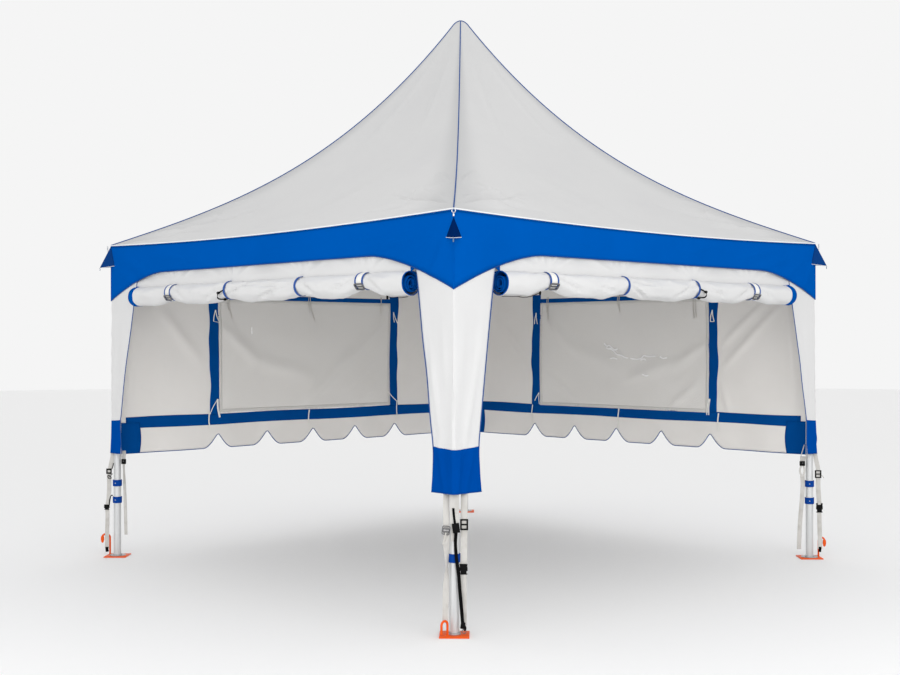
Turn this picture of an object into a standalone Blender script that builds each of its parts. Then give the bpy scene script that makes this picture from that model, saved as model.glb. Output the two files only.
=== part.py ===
"""High peak tent, four metres square, as separate named pieces.

Four round legs stand on hooked base plates and carry a square of eave beams.
Two crossed stays hang a short mast in the middle, which lifts the peak of a
four-sided roof. Blue bands run along the eaves, white drapes with blue cuffs
wrap the legs, two walls are rolled up and two hang down with a clear window.

Metres, +Z up, origin on the ground under the peak. The front side faces -Y and
the right side faces +X. Every side is modelled once, facing the front, and is
turned about the vertical axis to its own place.
"""

import math

import bmesh
import bpy
from mathutils import Matrix, Vector

# Driving dimensions
LEG_SPACING = 4.0
HALF = LEG_SPACING / 2
GAP = 0.0003
CLOTH = 0.002
QUARTER_TURN = math.pi / 2
SHARP_ANGLE = math.radians(35)

# Legs and base plates
TUBE_RADIUS = 0.030
TUBE_WALL = 0.003
TUBE_STEPS = 24
PLATE_SIDE = 0.18
PLATE_THICKNESS = 0.008
SPIGOT_HEIGHT = 0.08
LEG_TOP = 2.42
COLLAR_RADIUS = 0.037
COLLAR_HEIGHT = 0.052
COLLAR_LOW = 0.438
COLLAR_HIGH = 0.576
HOOK_ROD_RADIUS = 0.0075
HOOK_ROD_STEPS = 8
HOOK_BEND_STEPS = 6
HOOK_RISE_X = 0.0515
HOOK_BEND_RADIUS = 0.034
HOOK_TIP_DROP = 0.02
HOOK_TALL = 0.19
HOOK_SHORT = 0.095
HOOK_SHORT_TURN = math.radians(45)

# Eave frame
BEAM_WIDTH = 0.040
BEAM_HEIGHT = 0.060
BEAM_WALL = 0.002
ARM_LENGTH = 0.060
LUG_SIZE = 0.020
LUG_LEVEL = 2.440

# Roof shape
EAVE_MIDDLE = 2.515
EAVE_RISE = 0.034
CONE_TOP = 4.42
TIP_TOP = 4.378
TIP_CURVE = 9.2
TIP_RADIUS = 0.08
PANEL_DIP = 0.05
ROOF_THICKNESS = 0.004
ROOF_ROWS = 10
ROOF_COLUMNS = 6
ROOF_ROW_SPREAD = 1.6
ROOF_TIP = 0.002
TIP_ROWS = 4
TIP_STEP = 0.009

# Mast and stays
MAST_RADIUS = 0.025
MAST_WALL = 0.0025
MAST_FOOT = 2.260
MAST_TOP = 4.290
CAP_RADIUS = 0.0375
CAP_SHOULDER = 4.325
STAY_RADIUS = 0.003
STAY_STEPS = 6
RING_OUTER = 0.050
RING_INNER = 0.016
RING_LEVEL = 2.235
RING_THICKNESS = 0.008

# Cloth layers, from the frame outwards
FRAME_FACE = HALF + TUBE_RADIUS
WALL_FACE = FRAME_FACE + GAP + CLOTH
DRAPE_FACE = WALL_FACE + GAP + CLOTH
BAND_FACE = DRAPE_FACE + GAP + CLOTH
CLOTH_TOP = 2.500

# Bands and drapes
BAND_LOW = 2.305
BAND_POINT = 2.085
BAND_FLAT_HALF = 1.25
BAND_CURVE = 1.6
BAND_CORNER_STEPS = 6
DRAPE_LEVELS = (0.850, 1.110, 1.600, 2.190, CLOTH_TOP)
DRAPE_SLIMMING = 0.015
DRAPE_OVERLAP = 0.05

# Walls, windows and rolls
WALL_END = 1.985
WALL_LOW = 0.835
NOTCH_RISE = 0.123
NOTCH_HALF = 0.115
NOTCH_SPACING = 0.52
NOTCH_STEPS = (-1.0, -0.75, -0.5, -0.2, 0.0, 0.2, 0.5, 0.75, 1.0)
WINDOW_HALF = 0.985
WINDOW_LOW = 1.135
WINDOW_HIGH = 2.135
HEADER_END = 1.76
ROLL_END = 1.625
ROLL_TOP = 2.197
ROLL_RADIUS = 0.076
ROLL_PINCHED = 0.062
ROLL_STRAPS = {"front": (-1.01, -0.245, 0.585, 1.25), "right": (-1.19, -0.45, 0.40, 1.11)}
ROLL_STEPS = 16

# Hoods and tie straps
HOOD_WIDTH = 0.070
HOOD_REACH = 0.097
HOOD_TOP = 2.544
HOOD_LOW = 2.382
HOOD_RIM = 0.004
WEBBING_WIDTH = 0.040
WEBBING_THICKNESS = 0.003

SIDES = ("front", "right", "back", "left")
CORNERS = ("front_right", "back_right", "back_left", "front_left")


def clear_scene():
    """Remove every object, so that the file holds only the tent."""
    for obj in list(bpy.data.objects):
        bpy.data.objects.remove(obj)


def make_material(name, colour, roughness, metallic=0.0, alpha=1.0):
    """One Principled finish: linear colour, roughness, metal and opacity."""
    material = bpy.data.materials.new(name)
    material.use_nodes = True
    shader = material.node_tree.nodes["Principled BSDF"]
    shader.inputs["Base Color"].default_value = (*colour, 1.0)
    shader.inputs["Roughness"].default_value = roughness
    shader.inputs["Metallic"].default_value = metallic
    shader.inputs["Alpha"].default_value = alpha
    return material


def add_object(name, bm, material, turn=0.0, location=(0.0, 0.0, 0.0)):
    """Turn a finished bmesh into a named object with its material."""
    bmesh.ops.recalc_face_normals(bm, faces=bm.faces)
    mesh = bpy.data.meshes.new(name)
    bm.to_mesh(mesh)
    bm.free()
    mesh.materials.append(material)
    mesh.shade_smooth()
    mesh.set_sharp_from_angle(angle=SHARP_ANGLE)
    return place_mesh(name, mesh, turn, location)


def place_mesh(name, mesh, turn, location=(0.0, 0.0, 0.0)):
    """Place a mesh, which other objects may share, turned about Z."""
    obj = bpy.data.objects.new(name, mesh)
    obj.location = location
    obj.rotation_euler.z = turn
    bpy.context.scene.collection.objects.link(obj)
    return obj


def loft(rings):
    """Closed solid through rings that all hold the same number of points."""
    bm = bmesh.new()
    loops = [[bm.verts.new(point) for point in ring] for ring in rings]
    for low, high in zip(loops, loops[1:]):
        for index in range(len(low)):
            bm.faces.new((low[index - 1], low[index], high[index], high[index - 1]))
    bm.faces.new(loops[0])
    bm.faces.new(loops[-1])
    return bm


def spin_profile(bm, profile, steps):
    """Turn a closed (radius, height) outline once around the vertical axis."""
    verts = [bm.verts.new((radius, 0.0, height)) for radius, height in profile]
    edges = [bm.edges.new((verts[index - 1], verts[index])) for index in range(len(verts))]
    bmesh.ops.spin(bm, geom=verts + edges, cent=(0, 0, 0), axis=(0, 0, 1),
                   angle=2 * math.pi, steps=steps, use_merge=True)


def spin_solid(bm, profile, steps):
    """Turn an open outline that starts and ends on the axis into a solid."""
    verts = [bm.verts.new((radius, 0.0, height)) for radius, height in profile]
    edges = [bm.edges.new(pair) for pair in zip(verts, verts[1:])]
    bmesh.ops.spin(bm, geom=verts + edges, cent=(0, 0, 0), axis=(0, 0, 1),
                   angle=2 * math.pi, steps=steps, use_merge=True)
    bmesh.ops.remove_doubles(bm, verts=bm.verts, dist=GAP / 10)


def add_box(bm, low, high):
    """Box between two opposite corners."""
    middle = (Vector(low) + Vector(high)) / 2
    size = Vector(high) - Vector(low)
    matrix = Matrix.Translation(middle) @ Matrix.Diagonal((*size, 1.0))
    bmesh.ops.create_cube(bm, size=1.0, matrix=matrix)


def union_mesh(name, pieces, material):
    """Weld overlapping closed pieces into one mesh with exact Booleans."""
    target = add_object(name, pieces[0], material)
    helpers = [add_object(f"{name}_helper", piece, material) for piece in pieces[1:]]
    for helper in helpers:
        joint = target.modifiers.new("join", "BOOLEAN")
        joint.operation = "UNION"
        joint.solver = "EXACT"
        joint.object = helper
    graph = bpy.context.evaluated_depsgraph_get()
    mesh = bpy.data.meshes.new_from_object(target.evaluated_get(graph), depsgraph=graph)
    mesh.name = name
    for obj in [target, *helpers]:
        bpy.data.objects.remove(obj)
    return mesh


def hip_height(radius):
    """Height of a hip at a distance from the tent's axis, rounded at the tip."""
    share = 1 - radius / (BAND_FACE * math.sqrt(2))
    corner = EAVE_MIDDLE + EAVE_RISE
    cone = corner + (CONE_TOP - corner) * (share + share ** 3) / 2
    if radius > TIP_RADIUS:
        return cone
    return min(cone, TIP_TOP - TIP_CURVE * radius ** 2)


def roof_height(out, across):
    """Height of the roof's underside, out from the axis and across a panel.

    across runs from -1 on one hip to +1 on the other, and the panel hangs
    a little lower between them.
    """
    share = out / BAND_FACE
    dip = EAVE_RISE * share + PANEL_DIP * math.sin(math.pi * share)
    return hip_height(out * math.sqrt(2)) - dip * (1 - across ** 2)


def band_bottom(place):
    """Lower edge of a band: level in the middle, falling to each corner."""
    run = max(0.0, (abs(place) - BAND_FLAT_HALF) / (BAND_FACE - BAND_FLAT_HALF))
    return BAND_LOW - (BAND_LOW - BAND_POINT) * run ** BAND_CURVE


def wall_bottom(place):
    """Lower edge of a hung wall, with five notches that are wider at the foot."""
    nearest = max(-2, min(2, round(place / NOTCH_SPACING))) * NOTCH_SPACING
    run = max(0.0, 1 - abs(place - nearest) / NOTCH_HALF)
    return WALL_LOW + NOTCH_RISE * run ** 2 * (3 - 2 * run)


def hanging_sheet(columns, levels, face, keep=None):
    """Upright cloth across the front side, with its outer side on one face.

    levels(u) lists the heights of the column at u, and keep(i, j) tells
    which cells of the grid are cloth.
    """
    bm = bmesh.new()
    grid = [[bm.verts.new((u, -face, z)) for z in levels(u)] for u in columns]
    for i, (left, right) in enumerate(zip(grid, grid[1:])):
        for j in range(len(left) - 1):
            if keep is None or keep(i, j):
                bm.faces.new((left[j], right[j], right[j + 1], left[j + 1]))
    made = bmesh.ops.extrude_face_region(bm, geom=bm.faces[:])
    moved = [item for item in made["geom"] if isinstance(item, bmesh.types.BMVert)]
    bmesh.ops.translate(bm, verts=moved, vec=(0, CLOTH, 0))
    loose = [vert for vert in bm.verts if not vert.link_faces]
    bmesh.ops.delete(bm, geom=loose, context="VERTS")
    return bm


def ring_around(centre, radius, steps):
    """Circle of points around a line along X, for lofted rolls."""
    angles = [2 * math.pi * index / steps for index in range(steps)]
    return [centre + Vector((0, radius * math.cos(a), radius * math.sin(a))) for a in angles]


def build_legs(aluminium):
    """Four round tubes with clamping collars, two on each but one on the first."""
    inner = TUBE_RADIUS - TUBE_WALL
    foot = PLATE_THICKNESS + GAP
    for index, corner in enumerate(CORNERS):
        levels = (COLLAR_LOW,) if corner == "front_right" else (COLLAR_LOW, COLLAR_HIGH)
        outline = [(inner, LEG_TOP), (inner, foot), (TUBE_RADIUS, foot)]
        for level in levels:
            outline += [(TUBE_RADIUS, level), (COLLAR_RADIUS, level)]
            outline += [(COLLAR_RADIUS, level + COLLAR_HEIGHT), (TUBE_RADIUS, level + COLLAR_HEIGHT)]
        outline.append((TUBE_RADIUS, LEG_TOP))
        bm = bmesh.new()
        spin_profile(bm, outline, TUBE_STEPS)
        add_object(f"leg_{corner}", bm, aluminium, location=corner_point(index))


def corner_point(index):
    """Axis of a leg on the ground, counted from the front right corner."""
    return Matrix.Rotation(index * QUARTER_TURN, 3, "Z") @ Vector((HALF, -HALF, 0))


def hook_route(top):
    """Line of a crook that rises from its plate and bends over outwards."""
    bend = HOOK_BEND_RADIUS
    centre = Vector((HOOK_RISE_X + bend, 0, top - HOOK_ROD_RADIUS - bend))
    route = [Vector((HOOK_RISE_X, 0, PLATE_THICKNESS / 2))]
    for index in range(HOOK_BEND_STEPS + 1):
        angle = math.pi - math.pi * index / HOOK_BEND_STEPS
        route.append(centre + Vector((bend * math.cos(angle), 0, bend * math.sin(angle))))
    route.append(route[-1] - Vector((0, 0, HOOK_TIP_DROP)))
    return route


def hook_solid(top, turn):
    """Round rod along the crook's line, turned on its plate."""
    route = hook_route(top)
    rings = []
    for index, point in enumerate(route):
        ahead = route[min(index + 1, len(route) - 1)] - route[max(index - 1, 0)]
        across = Vector((0, 1, 0))
        upright = ahead.normalized().cross(across)
        angles = [2 * math.pi * step / HOOK_ROD_STEPS for step in range(HOOK_ROD_STEPS)]
        rings.append([point + (across * math.cos(a) + upright * math.sin(a)) * HOOK_ROD_RADIUS
                      for a in angles])
    bm = loft(rings)
    bmesh.ops.rotate(bm, verts=bm.verts, cent=(0, 0, 0), matrix=Matrix.Rotation(turn, 3, "Z"))
    return bm


def build_base_plates(steel):
    """Square plates with a spigot for the leg and one crook for the strap."""
    for top, askew in ((HOOK_TALL, 0.0), (HOOK_SHORT, HOOK_SHORT_TURN)):
        plate = bmesh.new()
        half = PLATE_SIDE / 2
        add_box(plate, (-half, -half, 0), (half, half, PLATE_THICKNESS))
        spigot = bmesh.new()
        radius = TUBE_RADIUS - TUBE_WALL - GAP
        low = PLATE_THICKNESS / 2
        spin_solid(spigot, [(0, low), (radius, low), (radius, SPIGOT_HEIGHT), (0, SPIGOT_HEIGHT)],
                   TUBE_STEPS)
        mesh = union_mesh("base_plate", [plate, spigot, hook_solid(top, askew)], steel)
        for index, corner in enumerate(CORNERS):
            if (corner == "front_right") == (top == HOOK_SHORT):
                place_mesh(f"base_plate_{corner}", mesh, plate_turn(index), corner_point(index))


def plate_turn(index):
    """Turn of a base plate, which stands askew to the walls."""
    return math.radians(225) if index == 0 else math.radians(-45) + index * QUARTER_TURN


def build_eave_beams(aluminium):
    """Rectangular tubes between the corner brackets."""
    top = EAVE_MIDDLE - GAP
    half_length = HALF - TUBE_RADIUS - GAP
    for index, side in enumerate(SIDES):
        bm = bmesh.new()
        loops = []
        for inset in (0.0, BEAM_WALL):
            outline = [(-FRAME_FACE + inset, top - BEAM_HEIGHT + inset),
                       (-FRAME_FACE + BEAM_WIDTH - inset, top - BEAM_HEIGHT + inset),
                       (-FRAME_FACE + BEAM_WIDTH - inset, top - inset),
                       (-FRAME_FACE + inset, top - inset)]
            for x in (-half_length, half_length):
                loops.append([bm.verts.new((x, y, z)) for y, z in outline])
        outer_left, outer_right, inner_left, inner_right = loops
        pairs = [(outer_left, outer_right), (outer_right, inner_right),
                 (inner_right, inner_left), (inner_left, outer_left)]
        for first, second in pairs:
            for step in range(4):
                bm.faces.new((first[step - 1], first[step], second[step], second[step - 1]))
        add_object(f"eave_beam_{side}", bm, aluminium, index * QUARTER_TURN)


def build_brackets(cast):
    """Corner heads with a spigot in the leg and an arm in each beam."""
    head_top = roof_height(FRAME_FACE, (HALF - TUBE_RADIUS) / FRAME_FACE) - GAP
    half = TUBE_RADIUS
    head = bmesh.new()
    add_box(head, (-half, -half, LEG_TOP + GAP), (half, half, head_top))
    spigot = bmesh.new()
    radius = TUBE_RADIUS - TUBE_WALL - GAP
    low = LEG_TOP - SPIGOT_HEIGHT
    high = LEG_TOP + TUBE_WALL
    spin_solid(spigot, [(0, low), (radius, low), (radius, high), (0, high)], TUBE_STEPS)
    inset = BEAM_WALL + GAP
    arm_low = EAVE_MIDDLE - GAP - BEAM_HEIGHT + inset
    arm_high = EAVE_MIDDLE - GAP - inset
    front_arm = bmesh.new()
    add_box(front_arm, (-half - ARM_LENGTH, -half + inset, arm_low),
            (0, -half + BEAM_WIDTH - inset, arm_high))
    side_arm = bmesh.new()
    add_box(side_arm, (half - BEAM_WIDTH + inset, 0, arm_low),
            (half - inset, half + ARM_LENGTH, arm_high))
    lug = bmesh.new()
    add_box(lug, (-half - LUG_SIZE, -LUG_SIZE / 2, -LUG_SIZE / 2), (0, LUG_SIZE / 2, LUG_SIZE / 2))
    bmesh.ops.rotate(lug, verts=lug.verts, matrix=Matrix.Rotation(math.radians(-45), 3, "Z"))
    bmesh.ops.translate(lug, verts=lug.verts, vec=(0, 0, LUG_LEVEL))
    mesh = union_mesh("corner_bracket", [head, spigot, front_arm, side_arm, lug], cast)
    for index, corner in enumerate(CORNERS):
        place_mesh(f"corner_bracket_{corner}", mesh, index * QUARTER_TURN, corner_point(index))


def build_mast(aluminium, cast):
    """Short centre mast with its foot on the stay ring and a domed cap."""
    inner = MAST_RADIUS - MAST_WALL
    tube = bmesh.new()
    spin_profile(tube, [(inner, MAST_TOP), (inner, MAST_FOOT), (MAST_RADIUS, MAST_FOOT),
                        (MAST_RADIUS, MAST_TOP)], TUBE_STEPS)
    add_object("centre_mast", tube, aluminium)

    foot_low = RING_LEVEL + RING_THICKNESS / 2 + GAP
    foot = bmesh.new()
    spin_solid(foot, [(0, MAST_FOOT + SPIGOT_HEIGHT), (inner - GAP, MAST_FOOT + SPIGOT_HEIGHT),
                      (inner - GAP, MAST_FOOT - GAP), (RING_OUTER, MAST_FOOT - GAP),
                      (RING_OUTER, foot_low), (RING_INNER - GAP, foot_low),
                      (RING_INNER - GAP, RING_LEVEL - RING_THICKNESS), (0, RING_LEVEL - RING_THICKNESS)],
               TUBE_STEPS)
    add_object("mast_foot", foot, cast)

    dome = [(0.0, TIP_TOP - GAP)]
    for step in range(1, TIP_ROWS + 1):
        dome.append((TIP_STEP * step, roof_height(TIP_STEP * step, 0.0) - GAP))
    dome.append((CAP_RADIUS, CAP_SHOULDER))
    dome.append((CAP_RADIUS, MAST_TOP + GAP))
    dome.append((inner - GAP, MAST_TOP + GAP))
    dome.append((inner - GAP, MAST_TOP - SPIGOT_HEIGHT))
    dome.append((0.0, MAST_TOP - SPIGOT_HEIGHT))
    cap = bmesh.new()
    spin_solid(cap, dome, TUBE_STEPS)
    add_object("mast_cap", cap, cast)


def build_stays(steel):
    """Four wires welded to one centre ring, each ending at a bracket lug."""
    ring = bmesh.new()
    low = RING_LEVEL - RING_THICKNESS / 2
    high = RING_LEVEL + RING_THICKNESS / 2
    spin_profile(ring, [(RING_INNER, low), (RING_OUTER, low), (RING_OUTER, high), (RING_INNER, high)],
                 TUBE_STEPS)
    pieces = [ring]
    lug_end = HALF * math.sqrt(2) - TUBE_RADIUS - LUG_SIZE - GAP
    for index in range(4):
        heading = Matrix.Rotation(math.radians(-45) + index * QUARTER_TURN, 3, "Z") @ Vector((1, 0, 0))
        start = heading * (RING_OUTER - STAY_RADIUS) + Vector((0, 0, RING_LEVEL))
        end = heading * lug_end + Vector((0, 0, LUG_LEVEL))
        across = Vector((-heading.y, heading.x, 0))
        upright = heading.cross(across)
        angles = [2 * math.pi * step / STAY_STEPS for step in range(STAY_STEPS)]
        offsets = [(across * math.cos(a) + upright * math.sin(a)) * STAY_RADIUS for a in angles]
        pieces.append(loft([[point + offset for offset in offsets] for point in (start, end)]))
    mesh = union_mesh("cross_stays", pieces, steel)
    place_mesh("cross_stays", mesh, 0.0)


def build_roof(fabric):
    """Four panels that meet along the hips and rest on the bands."""
    tip = TIP_STEP * TIP_ROWS
    rows = [ROOF_TIP] + [TIP_STEP * step for step in range(1, TIP_ROWS)]
    for row in range(ROOF_ROWS + 1):
        rows.append(tip + (BAND_FACE - tip) * (row / ROOF_ROWS) ** ROOF_ROW_SPREAD)
    for index, side in enumerate(SIDES):
        bm = bmesh.new()
        grid = []
        for out in rows:
            line = []
            for column in range(ROOF_COLUMNS + 1):
                x = (out - GAP) * (2 * column / ROOF_COLUMNS - 1)
                line.append(bm.verts.new((x, -out, roof_height(out, x / out))))
            grid.append(line)
        for inner, outer in zip(grid, grid[1:]):
            for column in range(ROOF_COLUMNS):
                bm.faces.new((inner[column], inner[column + 1], outer[column + 1], outer[column]))
        made = bmesh.ops.extrude_face_region(bm, geom=bm.faces[:])
        moved = [item for item in made["geom"] if isinstance(item, bmesh.types.BMVert)]
        bmesh.ops.translate(bm, verts=moved, vec=(0, 0, ROOF_THICKNESS))
        add_object(f"roof_{side}", bm, fabric, index * QUARTER_TURN)


def build_bands(fabric):
    """Blue bands under the roof's edge, the outermost cloth of each side."""
    for index, side in enumerate(SIDES):
        end = BAND_FACE if index % 2 == 0 else BAND_FACE - CLOTH - GAP
        curve = [BAND_FLAT_HALF + (end - BAND_FLAT_HALF) * step / BAND_CORNER_STEPS
                 for step in range(BAND_CORNER_STEPS + 1)]
        half = [0.0, BAND_FLAT_HALF / 2] + curve
        columns = [-u for u in reversed(half) if u > 0] + half

        def levels(u):
            across = min(1.0, abs(u) / BAND_FACE)
            return (band_bottom(u), roof_height(BAND_FACE, across) - GAP)

        bm = hanging_sheet(columns, levels, BAND_FACE)
        add_object(f"band_{side}", bm, fabric, index * QUARTER_TURN)


def build_drapes(fabric):
    """Cloth wrapped around each leg: two tapering wings down to a cuff.

    Each entry of widths gives the hem, cuff and top width of one wing: the
    first wing lies on the side before the corner, the second on the side
    after it, counted anticlockwise from above.
    """
    widths = {
        "front_right": ((0.195, 0.180, 0.330), (0.230, 0.210, 0.357)),
        "back_right": ((0.150, 0.130, 0.330), (0.265, 0.255, 0.340)),
        "back_left": ((0.265, 0.255, 0.340), (0.265, 0.255, 0.340)),
        "front_left": ((0.265, 0.255, 0.340), (0.170, 0.150, 0.350)),
    }
    face = DRAPE_FACE
    inner = DRAPE_FACE - CLOTH
    for index, corner in enumerate(CORNERS):
        wings = []
        for hem, cuff, top in widths[corner]:
            middle = (cuff + top) / 2 - DRAPE_SLIMMING
            wings.append((hem, cuff, middle, top, top + DRAPE_OVERLAP))
        rings = []
        for level, before, after in zip(DRAPE_LEVELS, *wings):
            outline = [(face - before, -face), (face, -face), (face, -face + after),
                       (inner, -face + after), (inner, -inner), (face - before, -inner)]
            rings.append([Vector((x, y, level)) for x, y in outline])
        add_object(f"drape_{corner}", loft(rings), fabric, index * QUARTER_TURN)


def build_hung_walls(fabric, film):
    """Left and back walls, each with a clear window in its opening."""
    places = {-WALL_END, -WINDOW_HALF, WINDOW_HALF, WALL_END}
    for notch in range(-2, 3):
        places |= {notch * NOTCH_SPACING + step * NOTCH_HALF for step in NOTCH_STEPS}
    columns = sorted(places)

    def wall_levels(u):
        return (wall_bottom(u), WINDOW_LOW, WINDOW_HIGH, CLOTH_TOP)

    def is_cloth(column, row):
        middle = (columns[column] + columns[column + 1]) / 2
        return row != 1 or abs(middle) > WINDOW_HALF

    def film_levels(_):
        return (WINDOW_LOW + GAP, WINDOW_HIGH - GAP)

    for side in ("back", "left"):
        turn = SIDES.index(side) * QUARTER_TURN
        wall = hanging_sheet(columns, wall_levels, WALL_FACE, is_cloth)
        add_object(f"wall_{side}", wall, fabric, turn)
        half = WINDOW_HALF - GAP
        window = hanging_sheet([-half, half], film_levels, WALL_FACE)
        add_object(f"window_{side}", window, film, turn)


def build_rolled_walls(fabric):
    """Front and right walls: a header strip and the roll that hangs below it."""
    for index, side in enumerate(("front", "right")):
        turn = index * QUARTER_TURN
        header = hanging_sheet([-HEADER_END, HEADER_END], lambda _: (ROLL_TOP + GAP, CLOTH_TOP),
                               WALL_FACE)
        add_object(f"wall_header_{side}", header, fabric, turn)
        stops = [-ROLL_END, *ROLL_STRAPS[side], ROLL_END]
        stations = []
        for start, end in zip(stops, stops[1:]):
            for share in (0.0, 0.25, 0.5, 0.75):
                stations.append((start + (end - start) * share, math.sin(math.pi * share)))
        stations[0] = (-ROLL_END, 1.0)
        stations.append((ROLL_END, 1.0))
        rings = []
        for place, swell in stations:
            radius = ROLL_PINCHED + (ROLL_RADIUS - ROLL_PINCHED) * swell
            centre = Vector((place, -FRAME_FACE, ROLL_TOP - radius))
            rings.append(ring_around(centre, radius, ROLL_STEPS))
        add_object(f"wall_roll_{side}", loft(rings), fabric, turn)


def build_hoods(fabric):
    """Small three-sided hoods that stand out from the corners of the bands."""
    face = BAND_FACE + GAP
    shells = []
    for inset in (0.0, HOOD_RIM):
        reach = (HOOD_REACH / math.sqrt(2)) - inset
        shells.append((
            Vector((face, -face, HOOD_TOP - inset)),
            Vector((face - HOOD_WIDTH + inset, -face, HOOD_LOW)),
            Vector((face + reach, -face - reach, HOOD_LOW)),
            Vector((face, -face + HOOD_WIDTH - inset, HOOD_LOW)),
        ))
    bm = bmesh.new()
    outer, inner = [[bm.verts.new(point) for point in shell] for shell in shells]
    for first, second in ((1, 2), (2, 3)):
        bm.faces.new((outer[0], outer[first], outer[second]))
        bm.faces.new((inner[0], inner[second], inner[first]))
        bm.faces.new((outer[first], inner[first], inner[second], outer[second]))
    for side in (1, 3):
        bm.faces.new((outer[0], outer[side], inner[side], inner[0]))
    first = add_object(f"hood_{CORNERS[0]}", bm, fabric)
    for index in range(1, 4):
        place_mesh(f"hood_{CORNERS[index]}", first.data, index * QUARTER_TURN)


def build_tie_straps(webbing):
    """Flat webbing from each cuff down past the crook of its base plate.

    A route lists (distance from the leg's axis, height, sideways share). The
    webbing's width lies along the direction in which it stands off the leg,
    and its lower end hangs beside the crook's rod.
    """
    top = DRAPE_LEVELS[0] - GAP
    outward = ((0.053, top, 0.0), (0.070, 0.700, 0.5), (0.086, 0.410, 1.0), (0.090, 0.060, 1.0))
    beside = ((0.060, top, 0.0), (0.064, 0.660, 0.0), (0.058, 0.400, 0.0), (0.050, 0.110, 0.0))
    clear = HOOK_ROD_RADIUS + WEBBING_THICKNESS / 2 + GAP
    for index, corner in enumerate(CORNERS):
        route = beside if index == 0 else outward
        angle = math.radians(45) if index == 0 else plate_turn(index)
        heading = Vector((math.cos(angle), math.sin(angle), 0))
        normal = Vector((-heading.y, heading.x, 0))
        towards = -normal if corner == "back_right" else normal
        rings = []
        for distance, level, share in route:
            centre = corner_point(index) + heading * distance + towards * (clear * share)
            centre.z = level
            wide = heading * (WEBBING_WIDTH / 2)
            thick = normal * (WEBBING_THICKNESS / 2)
            rings.append([centre - wide - thick, centre + wide - thick,
                          centre + wide + thick, centre - wide + thick])
        add_object(f"tie_strap_{corner}", loft(rings), webbing)


def main():
    """Model every piece of the tent."""
    clear_scene()
    aluminium = make_material("brushed_aluminium", (0.60, 0.61, 0.62), 0.35, 1.0)
    cast = make_material("cast_aluminium", (0.35, 0.36, 0.37), 0.5, 1.0)
    wire = make_material("galvanised_wire", (0.45, 0.46, 0.47), 0.4, 1.0)
    orange_steel = make_material("orange_painted_steel", (0.80, 0.14, 0.01), 0.45)
    roof_cloth = make_material("white_roof_fabric", (0.66, 0.66, 0.66), 0.55)
    wall_cloth = make_material("white_wall_fabric", (0.78, 0.78, 0.76), 0.6)
    blue_cloth = make_material("blue_fabric", (0.005, 0.10, 0.46), 0.55)
    film = make_material("clear_window_film", (0.80, 0.82, 0.83), 0.1, 0.0, 0.3)
    webbing = make_material("grey_webbing", (0.62, 0.62, 0.60), 0.7)
    build_legs(aluminium)
    build_base_plates(orange_steel)
    build_eave_beams(aluminium)
    build_brackets(cast)
    build_mast(aluminium, cast)
    build_stays(wire)
    build_roof(roof_cloth)
    build_bands(blue_cloth)
    build_drapes(wall_cloth)
    build_hung_walls(wall_cloth, film)
    build_rolled_walls(wall_cloth)
    build_hoods(blue_cloth)
    build_tie_straps(webbing)


main()
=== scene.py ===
"""High peak tent, four metres square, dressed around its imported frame.

Metres, +Z up, origin on the ground under the peak. The front side faces -Y and
the right side faces +X. A piece of a side is made facing the front, and a piece
of a corner is made at the front right corner, and both are then turned about
the vertical axis to their own place.
"""

import logging
import math
from collections.abc import Callable, Iterable, Sequence
from dataclasses import dataclass, field
from enum import Enum

import bmesh
import bpy
from mathutils import Matrix, Vector, noise


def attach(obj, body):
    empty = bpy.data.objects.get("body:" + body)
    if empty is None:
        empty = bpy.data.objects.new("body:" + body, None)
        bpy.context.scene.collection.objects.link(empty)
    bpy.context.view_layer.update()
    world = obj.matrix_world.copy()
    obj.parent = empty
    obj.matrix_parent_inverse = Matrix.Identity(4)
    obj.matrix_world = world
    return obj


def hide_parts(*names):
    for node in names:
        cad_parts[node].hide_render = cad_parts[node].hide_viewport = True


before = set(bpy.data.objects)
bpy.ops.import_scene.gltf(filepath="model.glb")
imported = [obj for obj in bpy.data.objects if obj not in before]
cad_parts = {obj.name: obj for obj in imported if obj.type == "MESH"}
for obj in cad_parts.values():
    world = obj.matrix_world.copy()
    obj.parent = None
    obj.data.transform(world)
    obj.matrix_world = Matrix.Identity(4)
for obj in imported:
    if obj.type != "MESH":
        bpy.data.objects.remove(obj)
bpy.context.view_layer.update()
LOG = logging.getLogger("tent")
QUARTER = math.pi / 2
DIAGONAL = math.sqrt(0.5)
# Headings along the axes, square to a corner's diagonal and out along it
RIGHT = Vector((1.0, 0.0, 0.0))
BACK = Vector((0.0, 1.0, 0.0))
UP = Vector((0.0, 0.0, 1.0))
ASLANT = Vector((1.0, 1.0, 0.0))
OUTWARD = Vector((DIAGONAL, -DIAGONAL, 0.0))
# Distance under which corners are joined, and angle over which an edge stays sharp
MERGE_DISTANCE = 1e-5
SHARP_ANGLE = math.radians(40)
Mesh = bmesh.types.BMesh
Place = Callable[[float, float], Vector]


class Side(Enum):
    """The four sides, counted anticlockwise from above."""

    FRONT = 0
    RIGHT = 1
    BACK = 2
    LEFT = 3

    @property
    def label(self) -> str:
        """Name of the side in piece names."""
        return self.name.lower()

    @property
    def turn(self) -> Matrix:
        """Turn that brings a piece made for the front to this side."""
        return turned(self.value * QUARTER)


class Corner(Enum):
    """The four corners, counted anticlockwise from the front right one."""

    FRONT_RIGHT = 0
    BACK_RIGHT = 1
    BACK_LEFT = 2
    FRONT_LEFT = 3

    @property
    def label(self) -> str:
        """Name of the corner in piece names."""
        return self.name.lower()

    @property
    def turn(self) -> Matrix:
        """Turn that brings a piece made at the front right to this corner."""
        return turned(self.value * QUARTER)


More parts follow.
